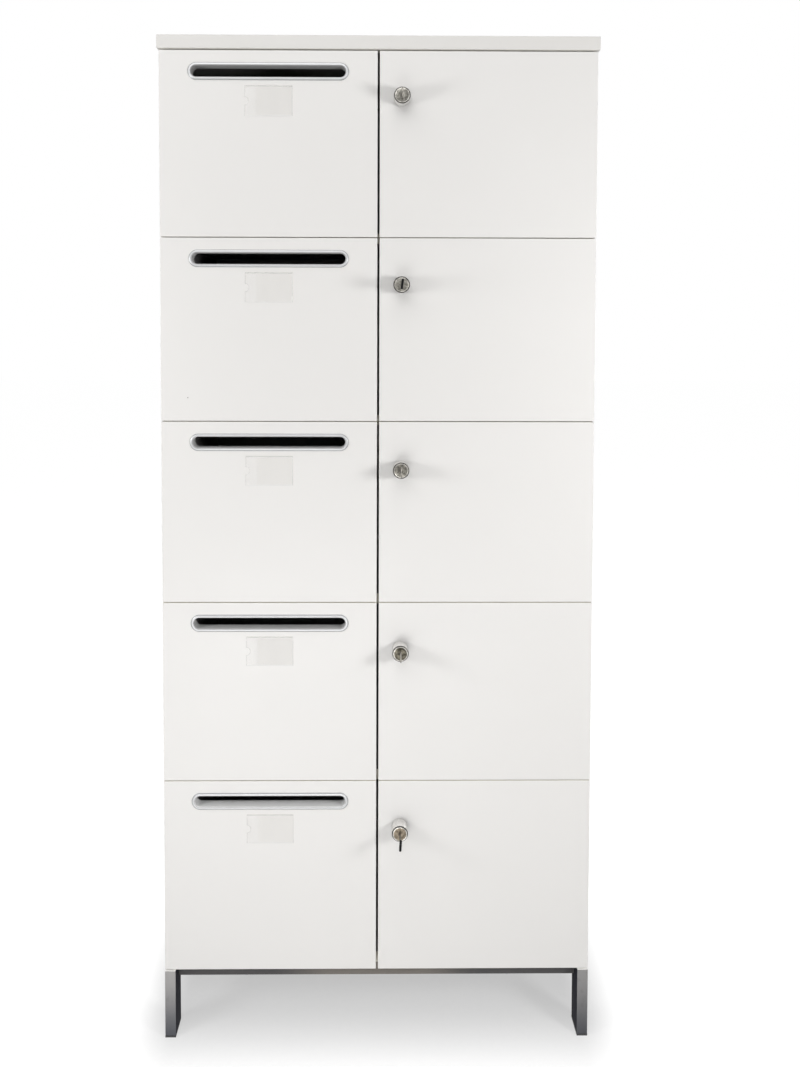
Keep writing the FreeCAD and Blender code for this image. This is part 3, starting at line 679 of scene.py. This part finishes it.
SLOT_RIM = silver("slot_rim", (0.51, 0.515, 0.52), (0.56, 0.565, 0.57), metal=0.5, polish=0.3)
# Painted shade on the frame's outer slope and on the lip into the sleeve
SLOT_EDGE_SHADE = silver("slot_edge_shade", (0.30, 0.305, 0.31), (0.34, 0.345, 0.35), metal=0.3, polish=0.4)
# Painted shade and light: the highest slot's sleeve is painted dark as shade, the lowest one pale as light
SLEEVE_SHADE_TONES = {1: 0.3, 2: 0.42, 3: 0.42, 4: 0.42, 5: 0.66}
SLOT_SLEEVES = {}
for row, tone in SLEEVE_SHADE_TONES.items():
    pale = (tone + 0.06, tone + 0.06, tone + 0.055)
    SLOT_SLEEVES[row] = silver(f"slot_sleeve_{row}", grey(tone), pale, metal=0.0, polish=0.5)
print("silver finishes", SLOT_RIM.name, SLOT_EDGE_SHADE.name, [finish.name for finish in SLOT_SLEEVES.values()])

# %% [markdown]
# A letter slot is a long hole with round ends, as a router cuts it. Its outline could be worked out point
# by point. A circle that is pulled apart in the middle is the same, and needs no sums.

# %% Slot outlines
OUTLINE_STEPS = 96
SLOT_RADIUS = 10 * MM
TO_Y = Matrix.Rotation(math.radians(90), 4, "X")
HAIR = 0.001 * MM


def circle(shape, steps, radius, place, turn=TO_Y):
    """Circle round a place, with its axis along Y unless it is turned otherwise. Returns its vertices."""
    at = Matrix.Translation(place) @ turn
    return bmesh.ops.create_circle(shape, segments=steps, radius=radius, matrix=at)["verts"]


def pulled_apart(shape, verts, middle, vector):
    """Moves the vertices on both sides of a middle apart, along a vector and against it."""
    for sign in (-1, 1):
        side = [vert for vert in verts if sign * (vert.co - middle).dot(vector) > HAIR * vector.length]
        bmesh.ops.translate(shape, verts=side, vec=sign * vector)


def pulled_outline(shape, radius, reach, centre):
    """Circle that is pulled apart along X into the outline of a slot. Returns its edges."""
    ring = circle(shape, OUTLINE_STEPS, radius, centre)
    pulled_apart(shape, ring, centre, Vector((reach, 0, 0)))
    return edges_among(ring)


print("slot height", round(2 * SLOT_RADIUS / MM, 1), "mm")

# %% [markdown]
# A frame is a moulded ring with a soft outer edge, a flat rim and a rounded lip that turns into the
# sleeve through the door. Sweeping a profile along a path would need a curve, so the frame is simply a
# stack of outlines, each bridged to the next.

# %% Letter slot frames
# Finishes of a frame, in the order of its material slots
RIM, EDGE, SLEEVE = range(3)
# Rings of the frame: distance outside the slot and place behind the door's front, in millimetres, and the
# finish up to the next ring
RIM_RINGS = (
    (0.0, 0.4, SLEEVE),
    (0.25, -0.9, SLEEVE),
    (0.8, -1.6, EDGE),
    (1.5, -1.95, RIM),
    (2.2, -2.0, RIM),
    (3.8, -1.9, RIM),
    (4.6, -1.5, EDGE),
    (5.5, -0.8, EDGE),
    (6.0, -0.3, EDGE),
    (6.0, -0.05, SLEEVE),
    (2.0, 0.0, SLEEVE),
)
# Rings of the sleeve's end, in millimetres: distance outside the slot, and before the end
SLEEVE_RINGS = ((2.0, 0.4), (1.2, 0.0), (0.6, 0.1), (0.0, 0.6))


def outward(shape):
    """Merges doubled vertices and turns every face outwards."""
    bmesh.ops.remove_doubles(shape, verts=shape.verts, dist=DOUBLES)
    bmesh.ops.recalc_face_normals(shape, faces=shape.faces)


def slot_frame(row):
    low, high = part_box(f"letter_slot_frame_{row}")
    middle = (low + high) / 2
    reach = (high.x - low.x) / 2 - (high.z - low.z) / 2
    levels = [(out, DOOR_FRONT + front * MM, finish) for out, front, finish in RIM_RINGS]
    levels += [(out, high.y - before * MM, SLEEVE) for out, before in SLEEVE_RINGS]
    shape = bmesh.new()
    rings = []
    for out, depth, finish in levels:
        centre = Vector((middle.x, depth, middle.z))
        rings.append((pulled_outline(shape, SLOT_RADIUS + out * MM, reach, centre), finish))
    for (first, finish), (second, _) in zip(rings, rings[1:] + rings[:1]):
        for face in bmesh.ops.bridge_loops(shape, edges=first + second)["faces"]:
            face.material_index = finish
    outward(shape)
    finishes = (SLOT_RIM, SLOT_EDGE_SHADE, SLOT_SLEEVES[row])
    body = f"left_leaf_{row}"
    piece(f"slot_frame_{row}", shape, finishes, body, f"letter_slot_frame_{row}")


for row in ROWS:
    slot_frame(row)
print("letter slot frames", len(ROWS))

# %% [markdown]
# Under each slot sits an empty label pocket of clear film, stuck to the door. On a white door hardly
# anything of it shows: a painted shadow along the top weld, a painted highlight along the bottom weld,
# and the faint tone of a blank card. A glass shader would need real thickness and many rays for that, so
# the film is a plain finish with a low alpha.

# %% Film and card
def clear_film(name, tone, cover, polish):
    """Clear soft film. cover is how much of what lies behind it is hidden."""
    paint, place = new_paint(name)
    ripple = noise(paint, stretch(paint, place, (60.0, 60.0, 12.0)), detail=2.0)
    paint.shader(
        base_color=blend(paint, ripple, shaded(tone, 0.92), tone),
        roughness=polish + 0.1 * ripple,
        specular_ior_level=0.3,
        alpha=cover + 0.06 * ripple,
        normal=bump(paint, ripple, depth=0.05 * MM),
    )
    return paint.owner


FILM = clear_film("pocket_film", (0.86, 0.845, 0.82), cover=0.0, polish=0.1)
WELD = clear_film("pocket_weld", (0.74, 0.725, 0.70), cover=0.06, polish=0.2)
# Painted shadow along the top weld and painted highlight along the bottom weld
TOP_WELD_SHADOW = clear_film("pocket_top_weld_shadow", (0.56, 0.54, 0.51), cover=0.13, polish=0.25)
LOW_WELD_HIGHLIGHT = clear_film("pocket_low_weld_highlight", (1.0, 0.99, 0.97), cover=0.75, polish=0.15)
card_paint, card_place = new_paint("label_card")
pulp = noise(card_paint, card_place, scale=1400.0, detail=4.0)
card_paint.shader(
    base_color=blend(card_paint, pulp, (0.75, 0.735, 0.71), (0.765, 0.75, 0.725)),
    roughness=0.75 + 0.1 * pulp,
    normal=bump(card_paint, pulp, depth=0.02 * MM),
)
print("film and card painted")

# %% [markdown]
# The pocket is welded along its edges, and its left end has a thumb notch through which a label is pushed
# out. The notched outline is an arc, spun from one vertex, that closes a rectangle. An inset makes the
# weld, and the card is a flat box with rounded corners.

# %% Label pockets
POCKET_FINISHES = (FILM, WELD, TOP_WELD_SHADOW, LOW_WELD_HIGHLIGHT)
NOTCH_RADIUS = 7 * MM
NOTCH_STEPS = 14
WELD_WIDTH = 1.8 * MM
WELD_RELIEF = 0.12 * MM
FILM_THICKNESS = 0.22 * MM
CARD_THICKNESS = 0.25 * MM
# Share of the pocket's width that lies left of the card
CARD_LEFT = 0.24
CARD_MARGIN = 2.6 * MM
CARD_CORNER = 1.5 * MM


def notched_sheet(shape, low, high, front):
    """Rectangle with a round notch in its left side, as one face at a depth."""
    middle = (low.z + high.z) / 2
    start = shape.verts.new((low.x, front, middle + NOTCH_RADIUS))
    bmesh.ops.spin(
        shape,
        geom=[start],
        cent=(low.x, front, middle),
        axis=(0, 1, 0),
        angle=math.radians(180),
        steps=NOTCH_STEPS,
    )
    corners = [(low.x, low.z), (high.x, low.z), (high.x, high.z), (low.x, high.z)]
    loop = [shape.verts.new((x, front, z)) for x, z in corners]
    for first, second in zip(loop, loop[1:]):
        shape.edges.new((first, second))
    ends = [vert for vert in shape.verts if len(vert.link_edges) == 1]
    ends.sort(key=lambda vert: vert.co.z)
    for first, second in zip(ends[0::2], ends[1::2]):
        shape.edges.new((first, second))
    return bmesh.ops.contextual_create(shape, geom=shape.edges[:])["faces"]


def weld_finish(height, low, high):
    """The finish of a weld by its height on the pocket: painted shadow at the top, painted highlight at the
    bottom.
    """
    if height > high - WELD_WIDTH:
        return TOP_WELD_SHADOW
    if height < low + WELD_WIDTH:
        return LOW_WELD_HIGHLIGHT
    return WELD


def pocket_film(row):
    low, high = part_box(f"label_pocket_{row}")
    film = bmesh.new()
    sheet = notched_sheet(film, low, high, low.y + FILM_THICKNESS)
    bmesh.ops.recalc_face_normals(film, faces=sheet)
    if sheet[0].normal.y > 0:
        bmesh.ops.reverse_faces(film, faces=sheet)
    rim = bmesh.ops.inset_region(
        film, faces=sheet, thickness=WELD_WIDTH, depth=-WELD_RELIEF, use_even_offset=True, use_boundary=True
    )
    for face in rim["faces"]:
        finish = weld_finish(face.calc_center_median().z, low.z, high.z)
        face.material_index = POCKET_FINISHES.index(finish)
    bmesh.ops.solidify(film, geom=film.faces[:], thickness=FILM_THICKNESS)
    bmesh.ops.recalc_face_normals(film, faces=film.faces)
    body = f"left_leaf_{row}"
    piece(f"pocket_film_{row}", film, POCKET_FINISHES, body, f"label_pocket_{row}")


def label_card(row):
    low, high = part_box(f"label_pocket_{row}")
    left = low.x + CARD_LEFT * (high.x - low.x)
    card_low = Vector((left, high.y - CARD_THICKNESS, low.z + CARD_MARGIN))
    card_high = Vector((high.x - CARD_MARGIN, high.y, high.z - CARD_MARGIN))
    card = bmesh.new()
    edges = edges_among(box_between(card, card_low, card_high))
    corners = [edge for edge in edges if abs(edge.verts[0].co.y - edge.verts[1].co.y) > HAIR]
    rounded(card, corners, CARD_CORNER, steps=3)
    piece(f"label_card_{row}", card, (card_paint.owner,), f"left_leaf_{row}")


for row in ROWS:
    pocket_film(row)
    label_card(row)
print("label pockets", len(ROWS))

# %% [markdown]
# The locks have round knobs of satin nickel, turned on a lathe, and the finish follows the turning. A UV
# map holds each point's distance from the axis and its depth, and fine rings on those two numbers become
# lathe marks on the face and on the side.

# %% Turned nickel
def turned_nickel(name, dark, light, polish):
    """Lathe-turned plate. Handled plate is patchy, so its tone wanders between a dark and a light one."""
    paint, place = new_paint(name)
    turning = paint.node("UVMap", {"uv_map": "turning"})
    marks = noise(paint, stretch(paint, turning, (6000.0, 6000.0, 1.0)), detail=3.0)
    patches = ease(paint, noise(paint, place, scale=170.0, detail=3.0), low=0.36, high=0.64)
    paint.shader(
        base_color=blend(paint, patches, dark, light),
        metallic=1.0,
        roughness=polish + 0.12 * marks,
        normal=bump(paint, marks, depth=0.006 * MM),
    )
    return paint.owner


KNOB_SIDE = turned_nickel("knob_side_nickel", (0.74, 0.73, 0.715), (0.84, 0.83, 0.815), polish=0.2)
# Painted dark reflection on the outer edge of the knob's front
KNOB_EDGE_DARK_REFLECTION = turned_nickel("knob_edge_dark_reflection", (0.035, 0.034, 0.030), (0.065, 0.062, 0.056), polish=0.3)
KNOB_RIM = turned_nickel("knob_rim_nickel", (0.38, 0.37, 0.345), (0.62, 0.605, 0.57), polish=0.16)
# Faces by row: the darkest and the lightest tone, a painted dark reflection that differs by row. The two
# lowest faces are browner.
FACE_REFLECTION_TONES = {
    1: ((0.11, 0.105, 0.092), (0.27, 0.26, 0.235)),
    2: ((0.16, 0.153, 0.135), (0.36, 0.345, 0.31)),
    3: ((0.11, 0.105, 0.092), (0.30, 0.285, 0.25)),
    4: ((0.035, 0.032, 0.025), (0.12, 0.11, 0.085)),
    5: ((0.14, 0.117, 0.087), (0.30, 0.251, 0.19)),
}
KNOB_FACES = {
    row: turned_nickel(f"knob_face_{row}", dark, light, polish=0.26)
    for row, (dark, light) in FACE_REFLECTION_TONES.items()
}
print("turned nickel", KNOB_SIDE.name, KNOB_EDGE_DARK_REFLECTION.name, KNOB_RIM.name, "and faces", len(KNOB_FACES))

# %% [markdown]
# Behind the door a hexagon nut holds the knob. A solid nut would block the bore for the plug, so two
# hexagons and two circles are bridged into a ring.

# %% Nuts
TURNED_STEPS = 72
NUT_SIDES = 6
NUT_RADIUS = 13 * MM
NUT_BORE = 9.3 * MM
NUT_THICKNESS = 4 * MM
NUT_EDGE = 0.5 * MM


def nut(shape, place):
    """Hexagon nut on the knob's sleeve, against the door's back."""
    back = place + Vector((0, NUT_THICKNESS, 0))
    sides = [circle(shape, NUT_SIDES, NUT_RADIUS, place), circle(shape, NUT_SIDES, NUT_RADIUS, back)]
    bore = [circle(shape, TURNED_STEPS, NUT_BORE, back), circle(shape, TURNED_STEPS, NUT_BORE, place)]
    rings = sides + bore
    for first, second in zip(rings, rings[1:] + rings[:1]):
        bmesh.ops.bridge_loops(shape, edges=edges_among(first) + edges_among(second))
    bmesh.ops.recalc_face_normals(shape, faces=shape.faces)
    rounded(shape, edges_among(sides[0] + sides[1]), NUT_EDGE)


print("nut across its corners", round(2 * NUT_RADIUS / MM, 1), "mm")

# %% [markdown]
# A profile that is spun once round the lock's axis makes the knob, as the lathe does. Three turned zones
# of its front are painted as reflections: a dark face, a bright rim round it, and a dark outer edge.

# %% Knobs
# The lock's axis: its distance from the middle, and from the upper edge of the door
LOCK_X = 42 * MM
LOCK_DROP = 86 * MM
# Profile of the knob: radius and place behind the door's front, in millimetres
KNOB_PROFILE = (
    (6.35, -23.5),
    (6.7, -23.8),
    (11.7, -23.8),
    (12.3, -23.6),
    (12.9, -24.0),
    (13.3, -24.0),
    (14.5, -23.4),
    (15.0, -22.6),
    (15.0, 0.0),
    (9.5, 0.0),
    (9.5, 22.6),
    (9.1, 23.0),
    (6.35, 23.0),
)
# Zones of the knob's front: the radius up to which a finish goes, in millimetres, and its material slot
FRONT_ZONES = ((11.8, 1), (13.2, 2), (15.0, 3))
# Faces that lie before this depth belong to the front
FRONT_DEPTH = -22.9 * MM


def lock_axis(row):
    """A point on the lock's axis, in the door's front plane."""
    return Vector((LOCK_X, DOOR_FRONT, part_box(f"door_right_{row}")[1].z - LOCK_DROP))


def spun(shape, profile, axis):
    """Turns a closed profile of radius and depth once round an axis along Y."""
    verts = [shape.verts.new(axis + Vector((radius * MM, depth * MM, 0))) for radius, depth in profile]
    edges = [shape.edges.new(pair) for pair in zip(verts, verts[1:] + verts[:1])]
    bmesh.ops.spin(
        shape,
        geom=verts + edges,
        cent=axis,
        axis=(0, 1, 0),
        angle=math.radians(360),
        steps=TURNED_STEPS,
        use_merge=True,
    )
    outward(shape)


def turning_map(shape, axis):
    """UV map of each point's distance from the axis and its depth."""
    layer = shape.loops.layers.uv.new("turning")
    for face in shape.faces:
        for loop in face.loops:
            off = loop.vert.co - axis
            loop[layer].uv = (math.hypot(off.x, off.z), off.y)


def knob(row):
    axis = lock_axis(row)
    shape = bmesh.new()
    spun(shape, KNOB_PROFILE, axis)
    for face in shape.faces:
        middle = face.calc_center_median() - axis
        radius = math.hypot(middle.x, middle.z) / MM
        if middle.y < FRONT_DEPTH:
            face.material_index = next(finish for limit, finish in FRONT_ZONES if radius < limit)
    nut(shape, Vector((axis.x, DOOR_BACK, axis.z)))
    turning_map(shape, axis)
    finishes = (KNOB_SIDE, KNOB_FACES[row], KNOB_RIM, KNOB_EDGE_DARK_REFLECTION)
    piece(f"knob_{row}", shape, finishes, f"right_leaf_{row}", f"lock_housing_{row}")


for row in ROWS:
    knob(row)
print("knobs", len(ROWS))

# %% [markdown]
# Screws behind the doors have round heads with a cross recess. A head is a stack of circles, and its top
# is a ring that is bridged to the cross before the cross is sunk. The keepers on the left doors get two
# each.

# %% Screw heads
# Rings of a head: share of the radius, and height in millimetres
HEAD_RINGS = ((1.0, 0.0), (1.0, 1.0), (0.85, 2.0), (0.62, 2.4))
HEAD_STEPS = 24
# The cross: half length and half width of its arms as shares of the radius, height of its rim, and depth
CROSS_REACH = 0.42
CROSS_HALF = 0.11
CROSS_RIM = 2.35 * MM
CROSS_DEPTH = 1.3 * MM
# A keeper's screws: radius, distance from its middle and from its top, and thickness of the foot they hold
KEEPER_SCREW = 3.4 * MM
KEEPER_SCREW_STEP = 5.5 * MM
KEEPER_SCREW_DROP = 10 * MM
KEEPER_FOOT = 2 * MM


def pushed(shape, edges, vector):
    """Extrudes edges along a vector and returns the new edges."""
    grown = bmesh.ops.extrude_edge_only(shape, edges=edges)["geom"]
    verts = [item for item in grown if isinstance(item, bmesh.types.BMVert)]
    bmesh.ops.translate(shape, verts=verts, vec=vector)
    return edges_among(verts)


def recess(shape, ring, corners, depth):
    """Fills a ring except for a hole with the given corners, and sinks the hole by a depth along Y."""
    hole = [shape.verts.new(corner) for corner in corners]
    hole_edges = [shape.edges.new(pair) for pair in zip(hole, hole[1:] + hole[:1])]
    bmesh.ops.bridge_loops(shape, edges=ring + hole_edges)
    bmesh.ops.contextual_create(shape, geom=pushed(shape, hole_edges, (0, depth, 0)))


def screw_head(shape, place, radius):
    """Round head that faces backwards, with a cross recess."""
    rings = []
    for share, height in HEAD_RINGS:
        ring = circle(shape, HEAD_STEPS, radius * share, place + Vector((0, height * MM, 0)))
        rings.append(edges_among(ring))
    bmesh.ops.contextual_create(shape, geom=rings[0])
    for first, second in zip(rings, rings[1:]):
        bmesh.ops.bridge_loops(shape, edges=first + second)
    top = place + Vector((0, CROSS_RIM, 0))
    reach = radius * CROSS_REACH
    half = radius * CROSS_HALF
    arm = ((reach, -half), (reach, half), (half, half))
    corners = [
        top + Matrix.Rotation(math.radians(90 * quarter), 3, "Y") @ Vector((x, 0, -z))
        for quarter in range(4)
        for x, z in arm
    ]
    recess(shape, rings[-1], corners, -CROSS_DEPTH)


def keeper_screws(row):
    low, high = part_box(f"lock_keeper_{row}")
    shape = bmesh.new()
    middle = Vector(((low.x + high.x) / 2, low.y + KEEPER_FOOT, high.z - KEEPER_SCREW_DROP))
    for side in (-1, 1):
        screw_head(shape, middle + Vector((side * KEEPER_SCREW_STEP, 0, 0)), KEEPER_SCREW)
    outward(shape)
    piece(f"keeper_screws_{row}", shape, (SCREW_ZINC,), f"left_leaf_{row}")


for row in ROWS:
    keeper_screws(row)
print("keeper screws", 2 * len(ROWS))

# %% [markdown]
# Behind the door each lock carries a cam, a flat bar stamped from sheet, which turns behind the keeper.
# It is a circle again, pulled downwards on one side only, extruded to its thickness and rounded.

# %% Cams
LOCK_STEPS = 32
CAM_LENGTH = 55 * MM
CAM_RADIUS = 8 * MM
CAM_THICKNESS = 2.5 * MM
CAM_EDGE = 0.35 * MM
HARD_ANGLE = math.radians(60)


def thickened(shape, faces, vector):
    """Extrudes faces along a vector. Returns the new vertices."""
    grown = bmesh.ops.extrude_face_region(shape, geom=faces)["geom"]
    far = [item for item in grown if isinstance(item, bmesh.types.BMVert)]
    bmesh.ops.translate(shape, verts=far, vec=vector)
    return far


def hard_edges(edges):
    """The edges at which two faces meet sharply."""
    return [edge for edge in edges if edge.is_manifold and edge.calc_face_angle() > HARD_ANGLE]


def cam(shape, place):
    """Flat bar with round ends that hangs down behind the plug."""
    ring = circle(shape, LOCK_STEPS, CAM_RADIUS, place)
    face = bmesh.ops.contextual_create(shape, geom=edges_among(ring))["faces"]
    lower = [vert for vert in ring if vert.co.z < place.z - HAIR]
    bmesh.ops.translate(shape, verts=lower, vec=(0, 0, CAM_RADIUS - CAM_LENGTH))
    far = thickened(shape, face, (0, CAM_THICKNESS, 0))
    rounded(shape, hard_edges(edges_among(ring + far)), CAM_EDGE)


print("cam length", round(CAM_LENGTH / MM, 1), "mm")

# %% [markdown]
# Inside the knob turns a plug with a keyway. Cutting the keyway with a boolean would leave long thin
# triangles. So the plug's face is a ring bridged to the keyway's four corners, as on the screws, and an
# extrusion gives the plug its length. In two rows plug and key stand a little to the right.

# %% Plugs
PLUG_RADIUS = 6.25 * MM
PLUG_FACE = -23.4 * MM
PLUG_END = 23.4 * MM
# Half width and half height of the keyway
KEYWAY = (1.3 * MM, 4.2 * MM)
KEYWAY_DEPTH = 20 * MM
CAM_SCREW = 4.5 * MM
# Turns of plug and key by row, in degrees
KEY_TURNS = {2: 7, 5: 4}


def turn_for_row(shape, row, axis):
    """Turns a plug or a key to the angle at which the key stands in its row."""
    turn = Matrix.Rotation(math.radians(KEY_TURNS.get(row, 0)), 3, "Y")
    bmesh.ops.rotate(shape, verts=shape.verts, cent=axis, matrix=turn)


def plug(row):
    axis = lock_axis(row)
    end = axis + Vector((0, PLUG_END, 0))
    shape = bmesh.new()
    ring = edges_among(circle(shape, LOCK_STEPS, PLUG_RADIUS, axis + Vector((0, PLUG_FACE, 0))))
    half_x, half_z = KEYWAY
    corners = [(-half_x, -half_z), (half_x, -half_z), (half_x, half_z), (-half_x, half_z)]
    recess(shape, ring, [axis + Vector((x, PLUG_FACE, z)) for x, z in corners], KEYWAY_DEPTH)
    bmesh.ops.contextual_create(shape, geom=pushed(shape, ring, (0, PLUG_END - PLUG_FACE, 0)))
    cam(shape, end)
    screw_head(shape, end + Vector((0, CAM_THICKNESS, 0)), CAM_SCREW)
    outward(shape)
    finishes = (KNOB_FACES[row], KEEPER_ZINC)
    for face in shape.faces:
        if face.calc_center_median().y > end.y - HAIR:
            face.material_index = finishes.index(KEEPER_ZINC)
    turn_for_row(shape, row, axis)
    turning_map(shape, axis)
    piece(f"plug_{row}", shape, finishes, f"lock_cylinder_{row}", f"lock_plug_{row}")


for row in ROWS:
    plug(row)
print("plugs", len(ROWS))

# %% [markdown]
# Keys are left in all five locks: three of bare metal, and two whose bows have a black plastic cover. The
# metal is plated like the hinges, in a darker tone. The cover is matt, so that it stays black in any
# light.

# %% Key finishes
KEY_NICKEL = plated("key_nickel", (0.27, 0.255, 0.23), polish=0.24, cloudiness=0.16)
cover_paint, cover_place = new_paint("key_black")
matt = noise(cover_paint, cover_place, scale=1600.0, detail=2.0)
cover_paint.shader(
    base_color=blend(cover_paint, matt, (0.004, 0.004, 0.0045), (0.01, 0.01, 0.011)),
    roughness=0.42 + 0.16 * matt,
    specular_ior_level=0.08,
    normal=bump(cover_paint, matt, depth=0.01 * MM),
)
KEY_BLACK = cover_paint.owner
print("key finishes", KEY_NICKEL.name, KEY_BLACK.name)

# %% [markdown]
# The bow is the part of a key that fingers hold, with a hole for the key ring. It is two circles bridged
# into a flat ring and given a thickness, and pulling the outer circle apart makes the oval cover.

# %% Key bows
TO_X = Matrix.Rotation(math.radians(90), 4, "Y")
BOW_STEPS = 40
# Radius of the ring hole, and how far its middle lies from the bow's tip
RING_HOLE = 1.7 * MM
RING_EDGE = 4 * MM


def bow(shape, axis, tip, radius, rise, thickness, edge):
    """Bow with a hole for a key ring, in the plane of the blade. rise pulls it into an upright oval."""
    loops = []
    for centre_y, size, pull in ((tip + radius, radius, rise), (tip + RING_EDGE, RING_HOLE, 0)):
        centre = axis + Vector((-thickness / 2, centre_y, 0))
        ring = circle(shape, BOW_STEPS, size, centre, TO_X)
        pulled_apart(shape, ring, centre, Vector((0, 0, pull)))
        loops += edges_among(ring)
    disc = bmesh.ops.bridge_loops(shape, edges=loops)["faces"]
    thickened(shape, disc, (thickness, 0, 0))
    bmesh.ops.recalc_face_normals(shape, faces=shape.faces)
    rounded(shape, hard_edges(shape.edges), edge, steps=3)


print("ring hole", round(2 * RING_HOLE / MM, 1), "mm")

# %% [markdown]
# The blade starts as an outline of a few vertices, with the cuts that the lock reads, and an inset on
# both sides mills its groove. A bare key is bow and blade in one piece, and a covered one has its cover
# as a second piece.

# %% Keys
BLACK_KEY_ROWS = (2, 5)
# Bows, bare and covered: radius, rise, place of the tip from the door's front, thickness and rounding
BARE_RADIUS = 9.5 * MM
COVER_RADIUS = 5.5 * MM
COVER_RISE = 4 * MM
BARE_TIP = -47.5 * MM
COVERED_TIP = -61 * MM
BLADE_THICKNESS = 2.2 * MM
COVER_THICKNESS = 4 * MM
BARE_EDGE = 0.35 * MM
COVER_EDGE = 0.9 * MM
GROOVE_MARGIN = 1.0 * MM
GROOVE_DEPTH = 0.4 * MM
KNOB_FACE = -24 * MM
# Necks and outline of the blade: depth from the knob's face and height, in millimetres
BLADE_HALF = 4.0
BARE_NECK = -8.5
COVERED_NECK = -30.0
BLADE_OUTLINE = (
    (22.4, BLADE_HALF),
    (24.0, 2.6),
    (24.0, -1.2),
    (22.6, -2.6),
    (20.2, -1.6),
    (18.0, -2.9),
    (15.6, -1.4),
    (13.2, -3.0),
    (10.8, -2.0),
    (8.4, -3.4),
    (6.0, -2.4),
    (3.6, -BLADE_HALF),
)


def blade(shape, axis, neck):
    """Flat blade with its cuts and a groove on each side, from its neck in the bow to its end in the plug."""
    knob_face = axis + Vector((-BLADE_THICKNESS / 2, KNOB_FACE, 0))
    outline = ((neck, -BLADE_HALF), (neck, BLADE_HALF)) + BLADE_OUTLINE
    near = [shape.verts.new(knob_face + Vector((0, y * MM, z * MM))) for y, z in outline]
    far = thickened(shape, [shape.faces.new(near)], (BLADE_THICKNESS, 0, 0))
    bmesh.ops.recalc_face_normals(shape, faces=shape.faces)
    own = {face for vert in near + far for face in vert.link_faces}
    flats = [face for face in shape.faces if face in own and abs(face.normal.x) > 0.9]
    bmesh.ops.inset_individual(shape, faces=flats, thickness=GROOVE_MARGIN, depth=-GROOVE_DEPTH)


def key(row):
    axis = lock_axis(row)
    body = f"removable_key_{row}"
    node = f"key_{row}"
    covered = row in BLACK_KEY_ROWS
    metal = bmesh.new()
    if not covered:
        bow(metal, axis, BARE_TIP, BARE_RADIUS, 0, BLADE_THICKNESS, BARE_EDGE)
    blade(metal, axis, COVERED_NECK if covered else BARE_NECK)
    turn_for_row(metal, row, axis)
    piece(f"key_blade_{row}", metal, (KEY_NICKEL,), body, node)
    if covered:
        cover = bmesh.new()
        bow(cover, axis, COVERED_TIP, COVER_RADIUS, COVER_RISE, COVER_THICKNESS, COVER_EDGE)
        turn_for_row(cover, row, axis)
        piece(f"key_cover_{row}", cover, (KEY_BLACK,), body, node)


for row in ROWS:
    key(row)
print("keys", len(ROWS), "black covers in rows", BLACK_KEY_ROWS)
